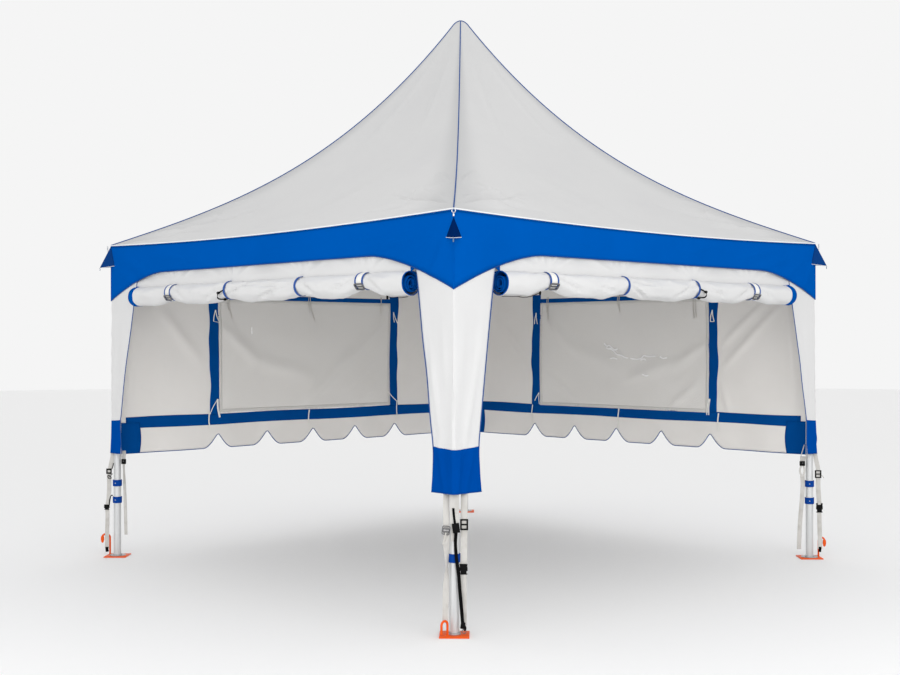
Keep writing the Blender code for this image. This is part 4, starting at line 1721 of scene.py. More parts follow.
@dataclass
class RolledWall:
    """A wall rolled up outwards under its header, held by straps.

    The cloth comes down from the eave, passes behind the roll and is wound
    under it, up its front and inwards again.

    Attributes:
        shape: Dimensions of the tent.
        side: Side that it hangs on.
        straps: Place and kind of each strap, and the roll's radius below it.
        lash: Ends of the elastic tape under the roll.
        folds: Folds, as (place, height on the roll's face).
        end: Half the length of the roll.
        height: Height of the wall unrolled.
        top: Height of the cloth's upper edge.
        roll_top: Height of the roll's top.
        radius: Radius of the roll between the straps.
        pitch: Distance between two turns.
        turns: Number of turns.
        start: Angle at which the cloth meets the roll.
        pull_level: Height that the header's creases start from.
        broad_width: Width of the white straps.
        blue_width: Mean width of the blue straps.
        elastic_width: Width of the elastic tapes.
        cloth: Thickness of the cloth.
        bindings_wide: Width of the binding at the near end and at the far one.
        header_rows: Rows of cells in the header.
        roll_rows: Rows of cells in the roll.
    """

    shape: TentShape
    side: Side
    straps: tuple[tuple[float, Strap, float], ...]
    lash: tuple[float, float]
    folds: tuple[Crease, ...]
    end: float = 1.640
    height: float = 1.665
    top: float = 2.498
    roll_top: float = 2.197
    radius: float = 0.076
    pitch: float = 0.0145
    turns: float = 3.7
    pull_level: float = 2.185
    broad_width: float = 0.058
    blue_width: float = 0.018
    elastic_width: float = 0.010
    start: float = -1.57
    cloth: float = 0.0010
    bindings_wide: tuple[float, float] = (0.008, 0.062)
    header_rows: int = 20
    roll_rows: int = 104

    @property
    def far(self) -> int:
        """Sign of the end that is away from the front right corner."""
        return -1 if self.side is Side.FRONT else 1

    def girth(self, x: float) -> float:
        """Radius of the roll at a place, pinched at each strap.

        Args:
            x: Place along the roll.

        Returns:
            The radius.
        """
        place, _, pinched = min(self.straps, key=lambda strap: abs(strap[0] - x))
        uneven = 0.0020 * noise.noise(Vector((x * 3.1, 7.0, self.side.value)))
        return pinched + (self.radius - pinched) * ease(abs(x - place) / 0.24) + uneven

    def centre(self, x: float) -> Vector:
        """Middle of the roll at a place."""
        return Vector((x, -self.shape.frame_face, self.roll_top - self.girth(x)))

    def wrinkle(self, x: float, angle: float) -> float:
        """How far the wound cloth stands out at a place and angle.

        Args:
            x: Place along the roll.
            angle: Angle that the cloth is wound to.

        Returns:
            The distance.
        """
        seed = float(self.side.value)
        slanted = noise.noise(Vector((x * 5.0 + angle * 1.1, angle * 1.3 - x * 1.5, seed)))
        fine = noise.noise(Vector((x * 13.0 - angle * 2.4, angle * 1.7, seed + 5.0)))
        pulled = 0.0
        for place, *_ in self.straps:
            away = x - place
            ray = math.sin(angle * 5.0 + 14.0 * abs(away) + place)
            pulled += 0.0042 * ray * math.exp(-abs(away) / 0.13) * ease((abs(away) - 0.02) / 0.05)
        folds = relief(self.folds, x, (angle - math.pi) * self.radius)
        calm = 1 - 0.7 * ease((abs(x) - 1.48) / 0.15)
        return (0.0085 * slanted + 0.0042 * fine) * calm + pulled - 2.0 * folds

    def around(self, x: float, angle: float, proud: float = 0.0) -> Vector:
        """Point of the roll, at an angle from its inner side, counted down and out.

        Args:
            x: Place along the roll.
            angle: Angle that the cloth is wound to.
            proud: Distance outside the cloth.

        Returns:
            The point.
        """
        wound = (angle - self.start) / (2 * math.pi)
        inner = max(0.0, wound - 1.0)
        radius = self.girth(x) - self.pitch * wound * ease((wound - 0.93) / 0.27) + proud
        radius += self.wrinkle(x, angle) * (1 - 0.75 * ease(inner * 2)) * ease(wound * 5)
        radius -= 0.003 * (1 - ease(wound * 12))
        radius *= 1 + 0.11 * inner * noise.noise(Vector((x, angle * 0.9, 2.0 + self.side.value)))
        spot = Vector((0.0, math.cos(angle) * (1 - 0.13 * inner), -math.sin(angle))) * radius
        return self.centre(x) + spot - Vector((0.0, 0.0, 0.003 * inner))

    def header_creases(self) -> list[Crease]:
        """Creases that the straps pull into the header.

        Returns:
            Six creases for each strap.
        """
        pulls = ((0.34, 0.17), (0.17, 0.27), (0.06, 0.24), (-0.11, 0.27), (-0.24, 0.24), (-0.38, 0.14))
        low = self.pull_level
        lines = []
        for count, (place, *_) in enumerate(self.straps):
            for index, (across, up) in enumerate(pulls):
                height = 0.011 - 0.002 * ((count + index) % 3)
                lines.append(Crease(place, low, place + across, low + up, 0.016, height))
        return lines

    def header_point(self, x: float, share: float, creases: Sequence[Crease] = ()) -> Vector:
        """Point of the header, from the eave at 0 to the roll's top at 1.

        Args:
            x: Place along the header.
            share: Share from the eave down.
            creases: Creases that show in it.

        Returns:
            The point.
        """
        start = Vector((x, -self.shape.wall_face + 0.001, self.top))
        finish = self.around(x, self.start)
        z = start.z + (finish.z - start.z) * share
        y = start.y + (finish.y - start.y) * ease((2.29 - z) / (2.29 - finish.z))
        ripple = 0.007 * noise.noise(Vector((x * 3.4 + z * 4.0, z * 4.0, self.side.value)))
        ripple += relief(creases, x, z) - 0.013 * ease((z - 2.20) * 14)
        y -= ripple * ease((2.45 - z) * 6) * ease((z - finish.z) * 12)
        reach = 0.10 if x * self.far > 0 else 0.028
        flare = reach * ease((z - finish.z) / 0.012) * ease((abs(x) - 1.4) / 0.24)
        return Vector((x + math.copysign(flare, x), y, z))

    def place(self, x: float, row: float, creases: Sequence[Crease] = ()) -> Vector:
        """Point of the whole cloth, by row from the eave to the wound end.

        Args:
            x: Place along the wall.
            row: Row of the cloth, counted from the eave.
            creases: Creases that show in the header.

        Returns:
            The point.
        """
        reach = 0.014 if self.side is Side.FRONT else 0.002
        x -= self.far * reach * ease((-x * self.far - 1.45) / 0.2)
        if row <= self.header_rows:
            return self.header_point(x, row / self.header_rows, creases)
        wound = (row - self.header_rows) / self.roll_rows
        return self.around(x, self.start + wound * self.turns * 2 * math.pi)

    def build(self) -> None:
        """Build the cloth, its end bindings and straps."""
        label = self.side.label
        rows = self.header_rows + self.roll_rows
        creases = self.header_creases()
        bm = cloth_grid(300, rows, (2 * self.end, 1.66),
                        lambda u, v: self.place(self.end * (2 * u - 1), (1 - v) * rows, creases))
        cloth = dress(f"rolled_wall_{label}", moved(bm, self.side.turn), WHITE_CLOTH, Slot.WHITE,
                      [f"wall_header_{label}", f"wall_roll_{label}"], self.cloth, 0.0)
        binding = dress(f"roll_binding_{label}", self.bindings(rows), BINDING, Slot.BLUE,
                        thickness=0.0042, offset=0.0)
        self.build_straps()

    def bindings(self, rows: int) -> Mesh:
        """Blue binding of both side edges; on the turns inside the roll it is wider, and the extra blue is
        painted shade in the gaps between the turns.

        Args:
            rows: Number of rows of the cloth.

        Returns:
            Both strips.
        """
        first = self.header_rows + self.roll_rows / self.turns * 0.97

        def edge(sign: int, u: float, row: float) -> Vector:
            """Point of the binding at one end of the roll.

            Args:
                sign: Which end.
                u: Share across the binding.
                row: Row of the cloth.

            Returns:
                The point.
            """
            # Extra width on the inner turns: blue as painted shade in the gaps between turns
            depth = self.bindings_wide[sign == self.far] + 0.10 * ease((row - first) / 4)
            if row < self.header_rows:
                depth = max(depth, 0.034)
            return self.place(sign * (self.end + 0.001 - depth * u), row)

        parts = []
        for sign in (-1, 1):
            strip = cloth_grid(3, rows, (self.bindings_wide[0], 1.66),
                               lambda u, v, s=sign: edge(s, u, (1 - v) * rows))
            parts.append(strip)
        return moved(gathered(parts), self.side.turn)

    def strap_path(self, x: float, proud: float) -> list[Vector]:
        """Line of a strap: from the roll's top over its front and back up behind it.

        Args:
            x: Place along the roll.
            proud: Distance outside the roll.

        Returns:
            Points of the line.
        """
        radius = self.girth(x) + proud
        middle = self.centre(x)
        line = []
        for step in range(33):
            angle = 4.80 - (4.80 + 0.95) * step / 32
            line.append(middle + Vector((0.0, math.cos(angle), -math.sin(angle))) * radius)
        return line

    def build_straps(self) -> None:
        """Build the straps with their rings, loops and toggles."""
        label = self.side.label
        away = self.far
        lashing, toggles = self.lashing()
        white, blue, plated, black = [], [], [], [lashing]
        for x, kind, _ in self.straps:
            if kind is Strap.BUCKLED:
                for edge in (-0.034, 0.034):
                    line = [point + RIGHT * edge for point in self.strap_path(x, 0.0050)]
                    blue.append(tape(line, 0.014, 0.0030))
                white.append(tape(self.strap_path(x, 0.0042), self.broad_width, 0.0018))
                plated.append(self.ring(x, 2.50))
            else:
                blue.append(tape(self.strap_path(x, 0.0045), 0.022, 0.0030))
                if kind is Strap.LOOPED:
                    black.append(self.cord_loop(x, away))
                    toggles += [self.toggle(x + away * 0.060, 2.9), self.toggle(x + away * 0.035, 2.0)]
        turn = self.side.turn
        soft = (("white", white, TIE_TAPE, Slot.WEBBING, self.broad_width),
                ("blue", blue, BLUE_WEBBING, Slot.BLUE, self.blue_width),
                ("elastic", black, BLACK_WEBBING, Slot.WEBBING, self.elastic_width))
        for name, parts, finish, slot, width in soft:
            straps = dress(f"roll_straps_{name}_{label}", moved(gathered(parts), turn), finish, slot)
        # Rings in dark grey plating: painted reflection of darker surroundings
        dress(f"roll_strap_rings_{label}", moved(gathered(plated), turn), DARK_REFLECTING_PLATING, Slot.WIRE)
        dress(f"roll_toggles_{label}", moved(gathered(toggles), turn), BLACK_PLASTIC, Slot.WEBBING)

    def ring(self, x: float, angle: float) -> Mesh:
        """Plated rectangular ring that the strap is drawn through.

        Args:
            x: Place along the roll.
            angle: Angle on the roll.

        Returns:
            The ring with its middle bar.
        """
        spot = self.centre(x) + Vector((0.0, math.cos(angle), -math.sin(angle))) * (self.girth(x) + 0.010)
        loop = cord(rounded_loop(0.078, 0.042, 0.009), 0.0056, closed=True)
        bar = cord([RIGHT * -0.036, RIGHT * 0.036], 0.0044)
        tilt = turned(math.pi - angle, "X")
        return moved(gathered([loop, bar]), tilt, Matrix.Translation(spot))

    def toggle(self, x: float, angle: float) -> Mesh:
        """Small barrel toggle.

        Args:
            x: Place along the roll.
            angle: Angle on the roll.

        Returns:
            The toggle.
        """
        barrel = lathe([(0.0, -0.015), (0.006, -0.014), (0.0095, -0.006), (0.0095, 0.006), (0.006, 0.014),
                        (0.0, 0.015)], 12)
        spot = self.around(x, angle, 0.012)
        return moved(barrel, turned(QUARTER, "Y"), Matrix.Translation(spot))

    def cord_loop(self, x: float, away: int) -> Mesh:
        """Short black elastic loop beside a strap.

        Args:
            x: Place of the strap.
            away: Sign of the side that it lies on.

        Returns:
            The loop.
        """
        spots = [(0.006, 3.1, 0.006), (0.030, 2.95, 0.018), (0.062, 2.75, 0.020), (0.070, 2.40, 0.018),
                 (0.040, 2.10, 0.014), (0.006, 1.95, 0.007)]
        line = smooth_curve([self.around(x + dx * away, angle, proud) for dx, angle, proud in spots], 5)
        return tape(line, self.elastic_width, 0.0035, UP)

    def lashing(self) -> tuple[Mesh, list[Mesh]]:
        """Elastic tape below the near end of the roll, with a toggle at its loose end.

        Returns:
            The tape, and its toggle in a list.
        """
        first, last = self.lash
        places = [first + (last - first) * step / 12 for step in range(13)]
        line = [self.around(x, 1.72 + 0.10 * math.sin(x * 23), 0.009) for x in places]
        barrel = lathe([(0.0, -0.014), (0.006, -0.012), (0.007, 0.0), (0.006, 0.012), (0.0, 0.014)], 10)
        moved(barrel, Matrix.Translation(self.around(last, 1.72, 0.010)))
        return tape(line, 0.009, 0.0035, BACK), [barrel]


# Legs, feet and their straps


@dataclass
class Legs:
    """Round legs with blue clamping collars and a ring at the foot.

    The front right leg has one collar, the others two.

    Attributes:
        shape: Dimensions of the tent.
        radius: Radius of the tube.
        wall: Thickness of its wall.
        foot: Height of its lower end.
        top: Height of its upper end.
        collar_radius: Radius of a collar.
        collar_height: Its height.
        low_collar: Height of the lower collar.
        high_collar: Height of the upper one.
    """

    shape: TentShape
    radius: float = 0.030
    wall: float = 0.003
    foot: float = 0.0083
    top: float = 2.420
    collar_radius: float = 0.0372
    collar_height: float = 0.052
    low_collar: float = 0.438
    high_collar: float = 0.576

    def build(self) -> None:
        """Build the four legs."""
        for corner in Corner:
            self.build_leg(corner, self.shape.leg_place(corner))

    def build_leg(self, corner: Corner, place: Matrix) -> None:
        """Build one leg with its collars, screws and foot ring.

        Args:
            corner: Which leg.
            place: Its place on the tent.
        """
        high = self.high_collar
        inner, outer = self.radius - self.wall, self.radius
        step = 0.0012
        tube = lathe([(inner, self.top), (inner, self.foot), (outer - step, self.foot),
                      (outer, self.foot + step), (outer, high + 0.02), (outer - 0.0008, high + 0.022),
                      (outer - 0.0008, self.top - step), (outer - step - 0.0008, self.top)], 40, True)
        dress(f"leg_tube_{corner.label}", moved(tube, place), LEG_TUBE, Slot.ALUMINIUM,
              [f"leg_{corner.label}"])
        collars, screws = [], []
        levels = (self.low_collar,) if corner is Corner.FRONT_RIGHT else (self.low_collar, high)
        for level in levels:
            collars.append(self.collar(level))
            for turn in (0.6, 3.75):
                head = lathe([(0.0, 0.0), (0.0042, 0.0), (0.0046, 0.0012), (0.0036, 0.0030),
                              (0.0, 0.0034)], 12)
                spot = Vector((self.collar_radius - 0.0006, 0.0, level + self.collar_height / 2))
                screws.append(moved(head, turned(QUARTER, "Y"), Matrix.Translation(spot),
                                    turned(turn)))
        dress(f"leg_collars_{corner.label}", moved(gathered(collars), place), BLUE_PLASTIC, Slot.BLUE)
        dress(f"collar_screws_{corner.label}", moved(gathered(screws), place), ZINC, Slot.WIRE)
        dress(f"foot_ring_{corner.label}", moved(self.foot_ring(corner), place), ZINC, Slot.WIRE)

    def collar(self, level: float) -> Mesh:
        """Clamping collar with a rolled upper rim and a tucked lower edge.

        Args:
            level: Height of its lower edge.

        Returns:
            The collar around the vertical axis.
        """
        r, h = self.collar_radius, self.collar_height
        inside = self.radius + 0.0002
        return lathe([(inside, level), (r - 0.004, level), (r - 0.0012, level + 0.003), (r, level + 0.007),
                      (r, level + h - 0.008), (r - 0.0008, level + h - 0.0068),
                      (r + 0.0006, level + h - 0.005), (r + 0.0006, level + h - 0.001),
                      (r - 0.0006, level + h), (inside, level + h)], 40, True)

    def foot_ring(self, corner: Corner) -> Mesh:
        """Ring welded around the foot, on a thin flange with four bolts.

        Args:
            corner: Which leg. The front right one has a narrow ring without bolts.

        Returns:
            The ring around the vertical axis.
        """
        wide = 0.041 if corner is Corner.FRONT_RIGHT else 0.068
        inside = self.radius + 0.0004
        base = self.foot - 0.0002
        ring = lathe([(inside, base), (wide, base), (wide + 0.0005, base + 0.002),
                      (wide - 0.001, base + 0.0035), (0.0400, base + 0.0040), (0.0390, base + 0.0110),
                      (0.0360, base + 0.0125), (inside, base + 0.0125)], 40, True)
        parts = [ring]
        if wide > 0.05:
            for step in range(4):
                head = lathe([(0.0, 0.0), (0.0070, 0.0), (0.0070, 0.0045), (0.0062, 0.0055),
                              (0.0, 0.0055)], 6)
                turn = turned(step * QUARTER + 0.785)
                parts.append(moved(head, shift(0.055, 0.0, base + 0.0034), turn))
        return gathered(parts)


@dataclass
class BasePlates:
    """Orange plates with a rounded crook for the strap.

    Attributes:
        shape: Dimensions of the tent.
        side: Width of a plate.
        thickness: Its thickness.
        spigot: Height of the spigot that holds the leg.
        spigot_radius: Its radius.
        rod: Radius of the crook's rod.
        crooks: Place of the rod, radius of its bend, height and drop of its end.
    """

    shape: TentShape
    side: float = 0.18
    thickness: float = 0.008
    spigot: float = 0.08
    spigot_radius: float = 0.0264
    rod: float = 0.0075
    crooks: dict[Corner, tuple[float, float, float, float]] = field(default_factory=lambda: {
        Corner.FRONT_RIGHT: (0.0574, 0.0245, 0.104, 0.050), Corner.BACK_RIGHT: (0.0720, 0.0240, 0.172, 0.034),
        Corner.BACK_LEFT: (0.0605, 0.0315, 0.190, 0.026), Corner.FRONT_LEFT: (0.0605, 0.0315, 0.190, 0.026),
    })

    def crook(self, corner: Corner) -> Mesh:
        """Rod that rises from the plate and bends over outwards, with a broad end on tall ones.

        Args:
            corner: Which plate.

        Returns:
            The crook, heading to the right of the plate's middle.
        """
        rise, bend, top, drop = self.crooks[corner]
        middle = Vector((rise + bend, 0.0, top - self.rod - bend))
        path = [Vector((rise, 0.0, self.thickness / 2)), Vector((rise, 0.0, middle.z / 2))]
        for step in range(15):
            angle = math.pi * (1 - step / 14)
            path.append(middle + Vector((math.cos(angle), 0.0, math.sin(angle))) * bend)
        path.append(path[-1] - Vector((0.0, 0.0, drop)))
        rod = cord(path, self.rod, BACK, 12)
        cap = lathe([(0.0, -0.004), (0.004, -0.0028), (self.rod, 0.0), (0.0, 0.001)], 12)
        weld = lathe([(self.rod - 0.001, 0.0), (self.rod + 0.005, 0.0), (self.rod + 0.002, 0.003),
                      (self.rod - 0.0005, 0.006)], 16, True)
        moved(cap, Matrix.Translation(path[-1]))
        moved(weld, shift(rise, 0.0, self.thickness - 0.0004))
        parts = [rod, cap, weld]
        if corner is not Corner.FRONT_RIGHT:
            paddle = lathe([(0.0, -0.5), (0.30, -0.42), (0.5, -0.10), (0.46, 0.20), (0.0, 0.5)], 20)
            parts.append(moved(paddle, Matrix.Diagonal((0.029, 0.014, 0.072, 1.0)),
                               Matrix.Translation(path[-1] + Vector((0.0, 0.0, 0.018)))))
        return gathered(parts)

    def build(self) -> None:
        """Build the four plates."""
        for corner in Corner:
            near = corner is Corner.FRONT_RIGHT
            hook = self.crook(corner)
            if near:
                moved(hook, turned(QUARTER / 2))
            plate = block((self.side, self.side, self.thickness), 0.0018, 2,
                          (0.0, 0.0, self.thickness / 2))
            pin = lathe([(0.0, self.thickness / 2), (self.spigot_radius, self.thickness / 2),
                         (self.spigot_radius, self.spigot - 0.004),
                         (self.spigot_radius - 0.004, self.spigot), (0.0, self.spigot)], 32)
            piece = gathered([plate, pin, hook])
            turn = turned(math.radians(225 if near else -45))
            place = self.shape.leg_place(corner) @ turn
            dress(f"foot_plate_{corner.label}", moved(piece, place), ORANGE_COAT, Slot.ORANGE,
                  [f"base_plate_{corner.label}"])


@dataclass
class Tether:
    """Webbing and buckles at one foot.

    Places are (across, height, towards) in metres from the leg's axis, for a
    viewer in front of the corner that they are seen at: across runs to the
    right and towards runs to the viewer.

    Attributes:
        corner: Corner that the webbing hangs at.
        shape: Dimensions of the tent.
        seen: Corner whose view the places are given in.
        slant: Sideways drift in that view for each metre towards the viewer.
        width: Width of the webbing where none is given.
        thickness: Thickness of the webbing.
        pale: Pale webbing made so far.
        black: Black webbing made so far.
        plastic: Plastic buckles made so far.
        plated: Plated buckles made so far.
    """

    corner: Corner
    shape: TentShape
    seen: Corner
    slant: float = 0.0
    width: float = 0.038
    thickness: float = 0.0022
    pale: list[Mesh] = field(default_factory=list)
    black: list[Mesh] = field(default_factory=list)
    plastic: list[Mesh] = field(default_factory=list)
    plated: list[Mesh] = field(default_factory=list)

    def spot(self, across: float, height: float, towards: float = 0.0) -> Vector:
        """Point beside the leg."""
        return Vector((across - self.slant * towards, -towards, height))

    def strap(self, points: Sequence[tuple[float, float, float]], width: float | None = None,
              twist: Sequence[float] | None = None, kind: list[Mesh] | None = None) -> None:
        """Add a strap through places, with its flat side to the viewer.

        Args:
            points: Places that it passes.
            width: Width of the webbing.
            twist: Turn of the webbing at each place, in degrees.
            kind: List that it joins, the pale webbing if none is given.
        """
        line = smooth_curve([self.spot(*p) for p in points], 6)
        turns = [0.0] * len(points) if twist is None else list(twist)
        sides = []
        for index in range(len(line)):
            share = index / 6
            low = min(int(share), len(points) - 1)
            high = min(low + 1, len(points) - 1)
            angle = math.radians(turns[low] + (turns[high] - turns[low]) * (share - low))
            sides.append(Vector((math.cos(angle), math.sin(angle), 0.0)))
        body = tape(line, width or self.width, self.thickness, sides)
        (self.pale if kind is None else kind).append(body)

    def put(self, part: Mesh, place: tuple[float, float, float], tilt: float = 0.0) -> Mesh:
        """Move a buckle to its place, tilted in the viewer's plane."""
        return moved(part, turned(math.radians(tilt), "Y"),
                     Matrix.Translation(self.spot(*place)))

    def ladder_lock(self, place: tuple[float, float, float], size: tuple[float, float], windows: int,
                    tilt: float = 0.0) -> None:
        """Add a ladder lock, whose windows show the webbing that is woven through.

        Args:
            place: Middle of the buckle.
            size: Its width and height.
            windows: Number of windows.
            tilt: Turn in the viewer's plane, in degrees.
        """
        w, h = size
        opening = 0.019
        bar = (h - windows * opening) / (windows + 1)
        parts = [block((0.010, 0.009, h), 0.002, 2, (s * (w / 2 - 0.005), 0.0, 0.0)) for s in (-1, 1)]
        parts += [block((w - 0.004, 0.008, bar), 0.002, 2, (0.0, 0.0, (step - windows / 2) * (opening + bar)))
                  for step in range(windows + 1)]
        self.plastic.append(self.put(gathered(parts), place, tilt))

    def side_release(self, place: tuple[float, float, float], size: tuple[float, float],
                     tilt: float = 0.0) -> None:
        """Add a side-release buckle: a socket with its two-pronged tongue.

        Args:
            place: Middle of the buckle.
            size: Its width and height.
            tilt: Turn in the viewer's plane, in degrees.
        """
        w, h = size
        parts = [block((w, 0.013, h * 0.50), 0.0035, 3, (0.0, 0.0, h * 0.14)),
                 block((w + 0.002, 0.0145, h * 0.11), 0.002, 2, (0.0, 0.0, h * 0.42)),
                 block((w - 0.010, 0.010, h * 0.34), 0.003, 3, (0.0, 0.0, -h * 0.28)),
                 block((w, 0.009, h * 0.10), 0.002, 2, (0.0, 0.0, -h * 0.44))]
        parts += [block((0.009, 0.011, h * 0.36), 0.003, 3, (s * (w / 2 - 0.003), 0.0, 0.0)) for s in (-1, 1)]
        self.plastic.append(self.put(gathered(parts), place, tilt))

    def cam_buckle(self, place: tuple[float, float, float], size: tuple[float, float]) -> None:
        """Add a cam buckle: a block with its lever and a pale rivet.

        Args:
            place: Middle of the buckle.
            size: Its width and height.
        """
        w, h = size
        parts = [block((w, 0.016, h), 0.004, 3),
                 block((w - 0.008, 0.008, h * 0.5), 0.003, 2, (0.0, -0.010, 0.004))]
        self.plastic.append(self.put(gathered(parts), place))
        rivet = moved(lathe([(0.0, -0.002), (0.0035, -0.001), (0.0035, 0.001), (0.0, 0.002)], 10),
                      turned(QUARTER, "X"), shift(0.0, -0.015, 0.004))
        self.plated.append(self.put(rivet, place))

    def wire_buckle(self, place: tuple[float, float, float], tilt: float = 0.0) -> None:
        """Add a plated wire buckle with a middle bar and a sprung tongue.

        Args:
            place: Middle of the buckle.
            tilt: Turn in the viewer's plane, in degrees.
        """
        loops = []
        for width, height, lift in ((0.044, 0.050, 0.0), (0.036, 0.028, 0.006)):
            loop = cord(rounded_loop(width, height, 0.008), 0.0026, closed=True)
            loops.append(moved(loop, shift(0.0, -lift, 0.0)))
        for z in (-0.006, 0.006):
            loops.append(cord([Vector((-0.021, -0.002, z)), Vector((0.021, -0.002, z))], 0.0024))
        self.plated.append(self.put(gathered(loops), place, tilt))

    def bent_rod(self, points: Sequence[tuple[float, float, float]], radius: float) -> None:
        """Add a bent plastic rod through places."""
        line = smooth_curve([self.spot(*p) for p in points], 5)
        self.plastic.append(cord(line, radius))

    def build(self) -> None:
        """Make the collected webbing and buckles into pieces."""
        turn = turned(QUARTER / 2 - self.seen.value * QUARTER)
        place = self.shape.leg_place(self.corner) @ turn
        label = self.corner.label
        # Plated buckles in dark grey plating: painted reflection of darker surroundings
        rows = (("tether_webbing", self.pale, PALE_WEBBING, 0.038, [f"tie_strap_{label}"]),
                ("tether_black_webbing", self.black, BLACK_WEBBING, 0.020, []),
                ("tether_buckles", self.plastic, BLACK_PLASTIC, 0.0, []),
                ("tether_plated_buckles", self.plated, DARK_REFLECTING_PLATING, 0.0, []))
        for name, parts, finish, width, nodes in rows:
            if parts:
                slot = Slot.WIRE if finish is DARK_REFLECTING_PLATING else Slot.WEBBING
                piece = dress(f"{name}_{label}", moved(gathered(parts), place), finish, slot, nodes)


def left_tether(corner: Corner, shape: TentShape) -> Tether:
    """Straps of the front left corner, or of a corner that repeats them.

    Args:
        corner: Which corner.
        shape: Dimensions of the tent.

    Returns:
        The corner's tether, not yet built.
    """
    tether = Tether(corner, shape, Corner.FRONT_LEFT, -0.257)
    tether.strap([(-0.036, 0.885, 0.004), (-0.040, 0.820, 0.010), (-0.059, 0.727, 0.018),
                  (-0.069, 0.690, 0.018)],
                 0.036)
    tether.ladder_lock((-0.069, 0.699, 0.020), (0.045, 0.044), 1)
    tether.strap([(-0.069, 0.700, 0.018), (-0.067, 0.586, 0.018), (-0.070, 0.498, 0.018),
                  (-0.080, 0.427, 0.018), (-0.086, 0.395, 0.018)], 0.036)
    tether.side_release((-0.087, 0.4045, 0.020), (0.043, 0.044))
    tether.strap([(-0.085, 0.400, 0.018), (-0.082, 0.366, 0.018), (-0.082, 0.278, 0.018),
                  (-0.085, 0.189, 0.018), (-0.086, 0.101, 0.018), (-0.086, 0.066, 0.018)], 0.034)
    tether.strap([(-0.086, 0.078, 0.020), (-0.086, 0.060, 0.020),
                  (-0.083, 0.038, 0.020)], 0.026, kind=tether.black)
    tether.strap([(0.030, 0.885, 0.0), (0.034, 0.840, 0.002), (0.040, 0.782, 0.004)], 0.010)
    tether.strap([(0.056, 0.866, -0.002), (0.056, 0.830, 0.0), (0.053, 0.770, 0.004)], 0.028)
    tether.cam_buckle((0.0525, 0.7775, 0.008), (0.038, 0.041))
    tether.strap([(0.053, 0.765, 0.004), (0.053, 0.718, 0.004), (0.061, 0.542, 0.004), (0.0665, 0.366, 0.004),
                  (0.071, 0.176, 0.004)], 0.026, [50.0, 72.0, 40.0, 10.0, 0.0])
    tether.strap([(-0.031, 0.767, 0.034), (-0.037, 0.740, 0.036),
                  (-0.044, 0.718, 0.036)], 0.007, kind=tether.black)
    tether.strap([(-0.038, 0.679, 0.030), (-0.050, 0.672, 0.032), (-0.057, 0.652, 0.034),
                  (-0.070, 0.668, 0.032), (-0.079, 0.657, 0.030), (-0.066, 0.639, 0.034),
                  (-0.044, 0.648, 0.032)], 0.006,
                 kind=tether.black)
    tether.bent_rod([(-0.036, 0.500, 0.012), (-0.052, 0.498, 0.016), (-0.063, 0.463, 0.026),
                     (-0.066, 0.419, 0.028)], 0.004)
    return tether


def right_tether(corner: Corner, shape: TentShape) -> Tether:
    """Straps of the back right corner.

    Args:
        corner: Which corner.
        shape: Dimensions of the tent.

    Returns:
        The corner's tether, not yet built.
    """
    tether = Tether(corner, shape, Corner.BACK_RIGHT, 0.277)
    tether.strap([(0.043, 0.885, 0.0), (0.052, 0.810, 0.012), (0.069, 0.732, 0.018),
                  (0.071, 0.670, 0.018)], 0.036)
    tether.ladder_lock((0.071, 0.681, 0.020), (0.052, 0.063), 2)
    tether.strap([(0.071, 0.690, 0.018), (0.071, 0.636, 0.018), (0.0726, 0.549, 0.018), (0.078, 0.462, 0.018),
                  (0.080, 0.420, 0.018)])
    tether.side_release((0.081, 0.408, 0.020), (0.050, 0.078))
    tether.strap([(0.079, 0.455, 0.028), (0.080, 0.444, 0.029), (0.0805, 0.434, 0.028)], 0.024)
    tether.strap([(0.080, 0.400, 0.018), (0.0795, 0.357, 0.018), (0.081, 0.288, 0.018), (0.083, 0.200, 0.018),
                  (0.0855, 0.113, 0.018), (0.0855, 0.075, 0.018)], 0.036)
    tether.strap([(0.0855, 0.092, 0.020), (0.0855, 0.072, 0.020),
                  (0.083, 0.050, 0.020)], 0.022, kind=tether.black)
    tether.strap([(0.095, 0.672, 0.016), (0.106, 0.665, 0.014), (0.117, 0.648, 0.012)], 0.006)
    tether.strap([(-0.039, 0.919, 0.020), (-0.056, 0.865, 0.020), (-0.073, 0.808, 0.018)], 0.007)
    tether.strap([(-0.017, 0.863, 0.020), (-0.022, 0.835, 0.020), (-0.028, 0.806, 0.018)], 0.012)
    tether.strap([(-0.052, 0.826, 0.016), (-0.053, 0.804, 0.017), (-0.055, 0.780, 0.017)], 0.042)
    tether.cam_buckle((-0.056, 0.767, 0.020), (0.043, 0.038))
    for side in (-1, 1):
        tether.strap([(-0.056 + side * 0.006, 0.760, 0.016), (-0.057 + side * 0.018, 0.715, 0.018),
                      (-0.057 + side * 0.012, 0.680, 0.020), (-0.055, 0.655, 0.018)], 0.016)
    tether.strap([(-0.056, 0.670, 0.012), (-0.053, 0.593, 0.012), (-0.061, 0.462, 0.012),
                  (-0.076, 0.288, 0.012), (-0.0855, 0.071, 0.012)], 0.035)
    return tether


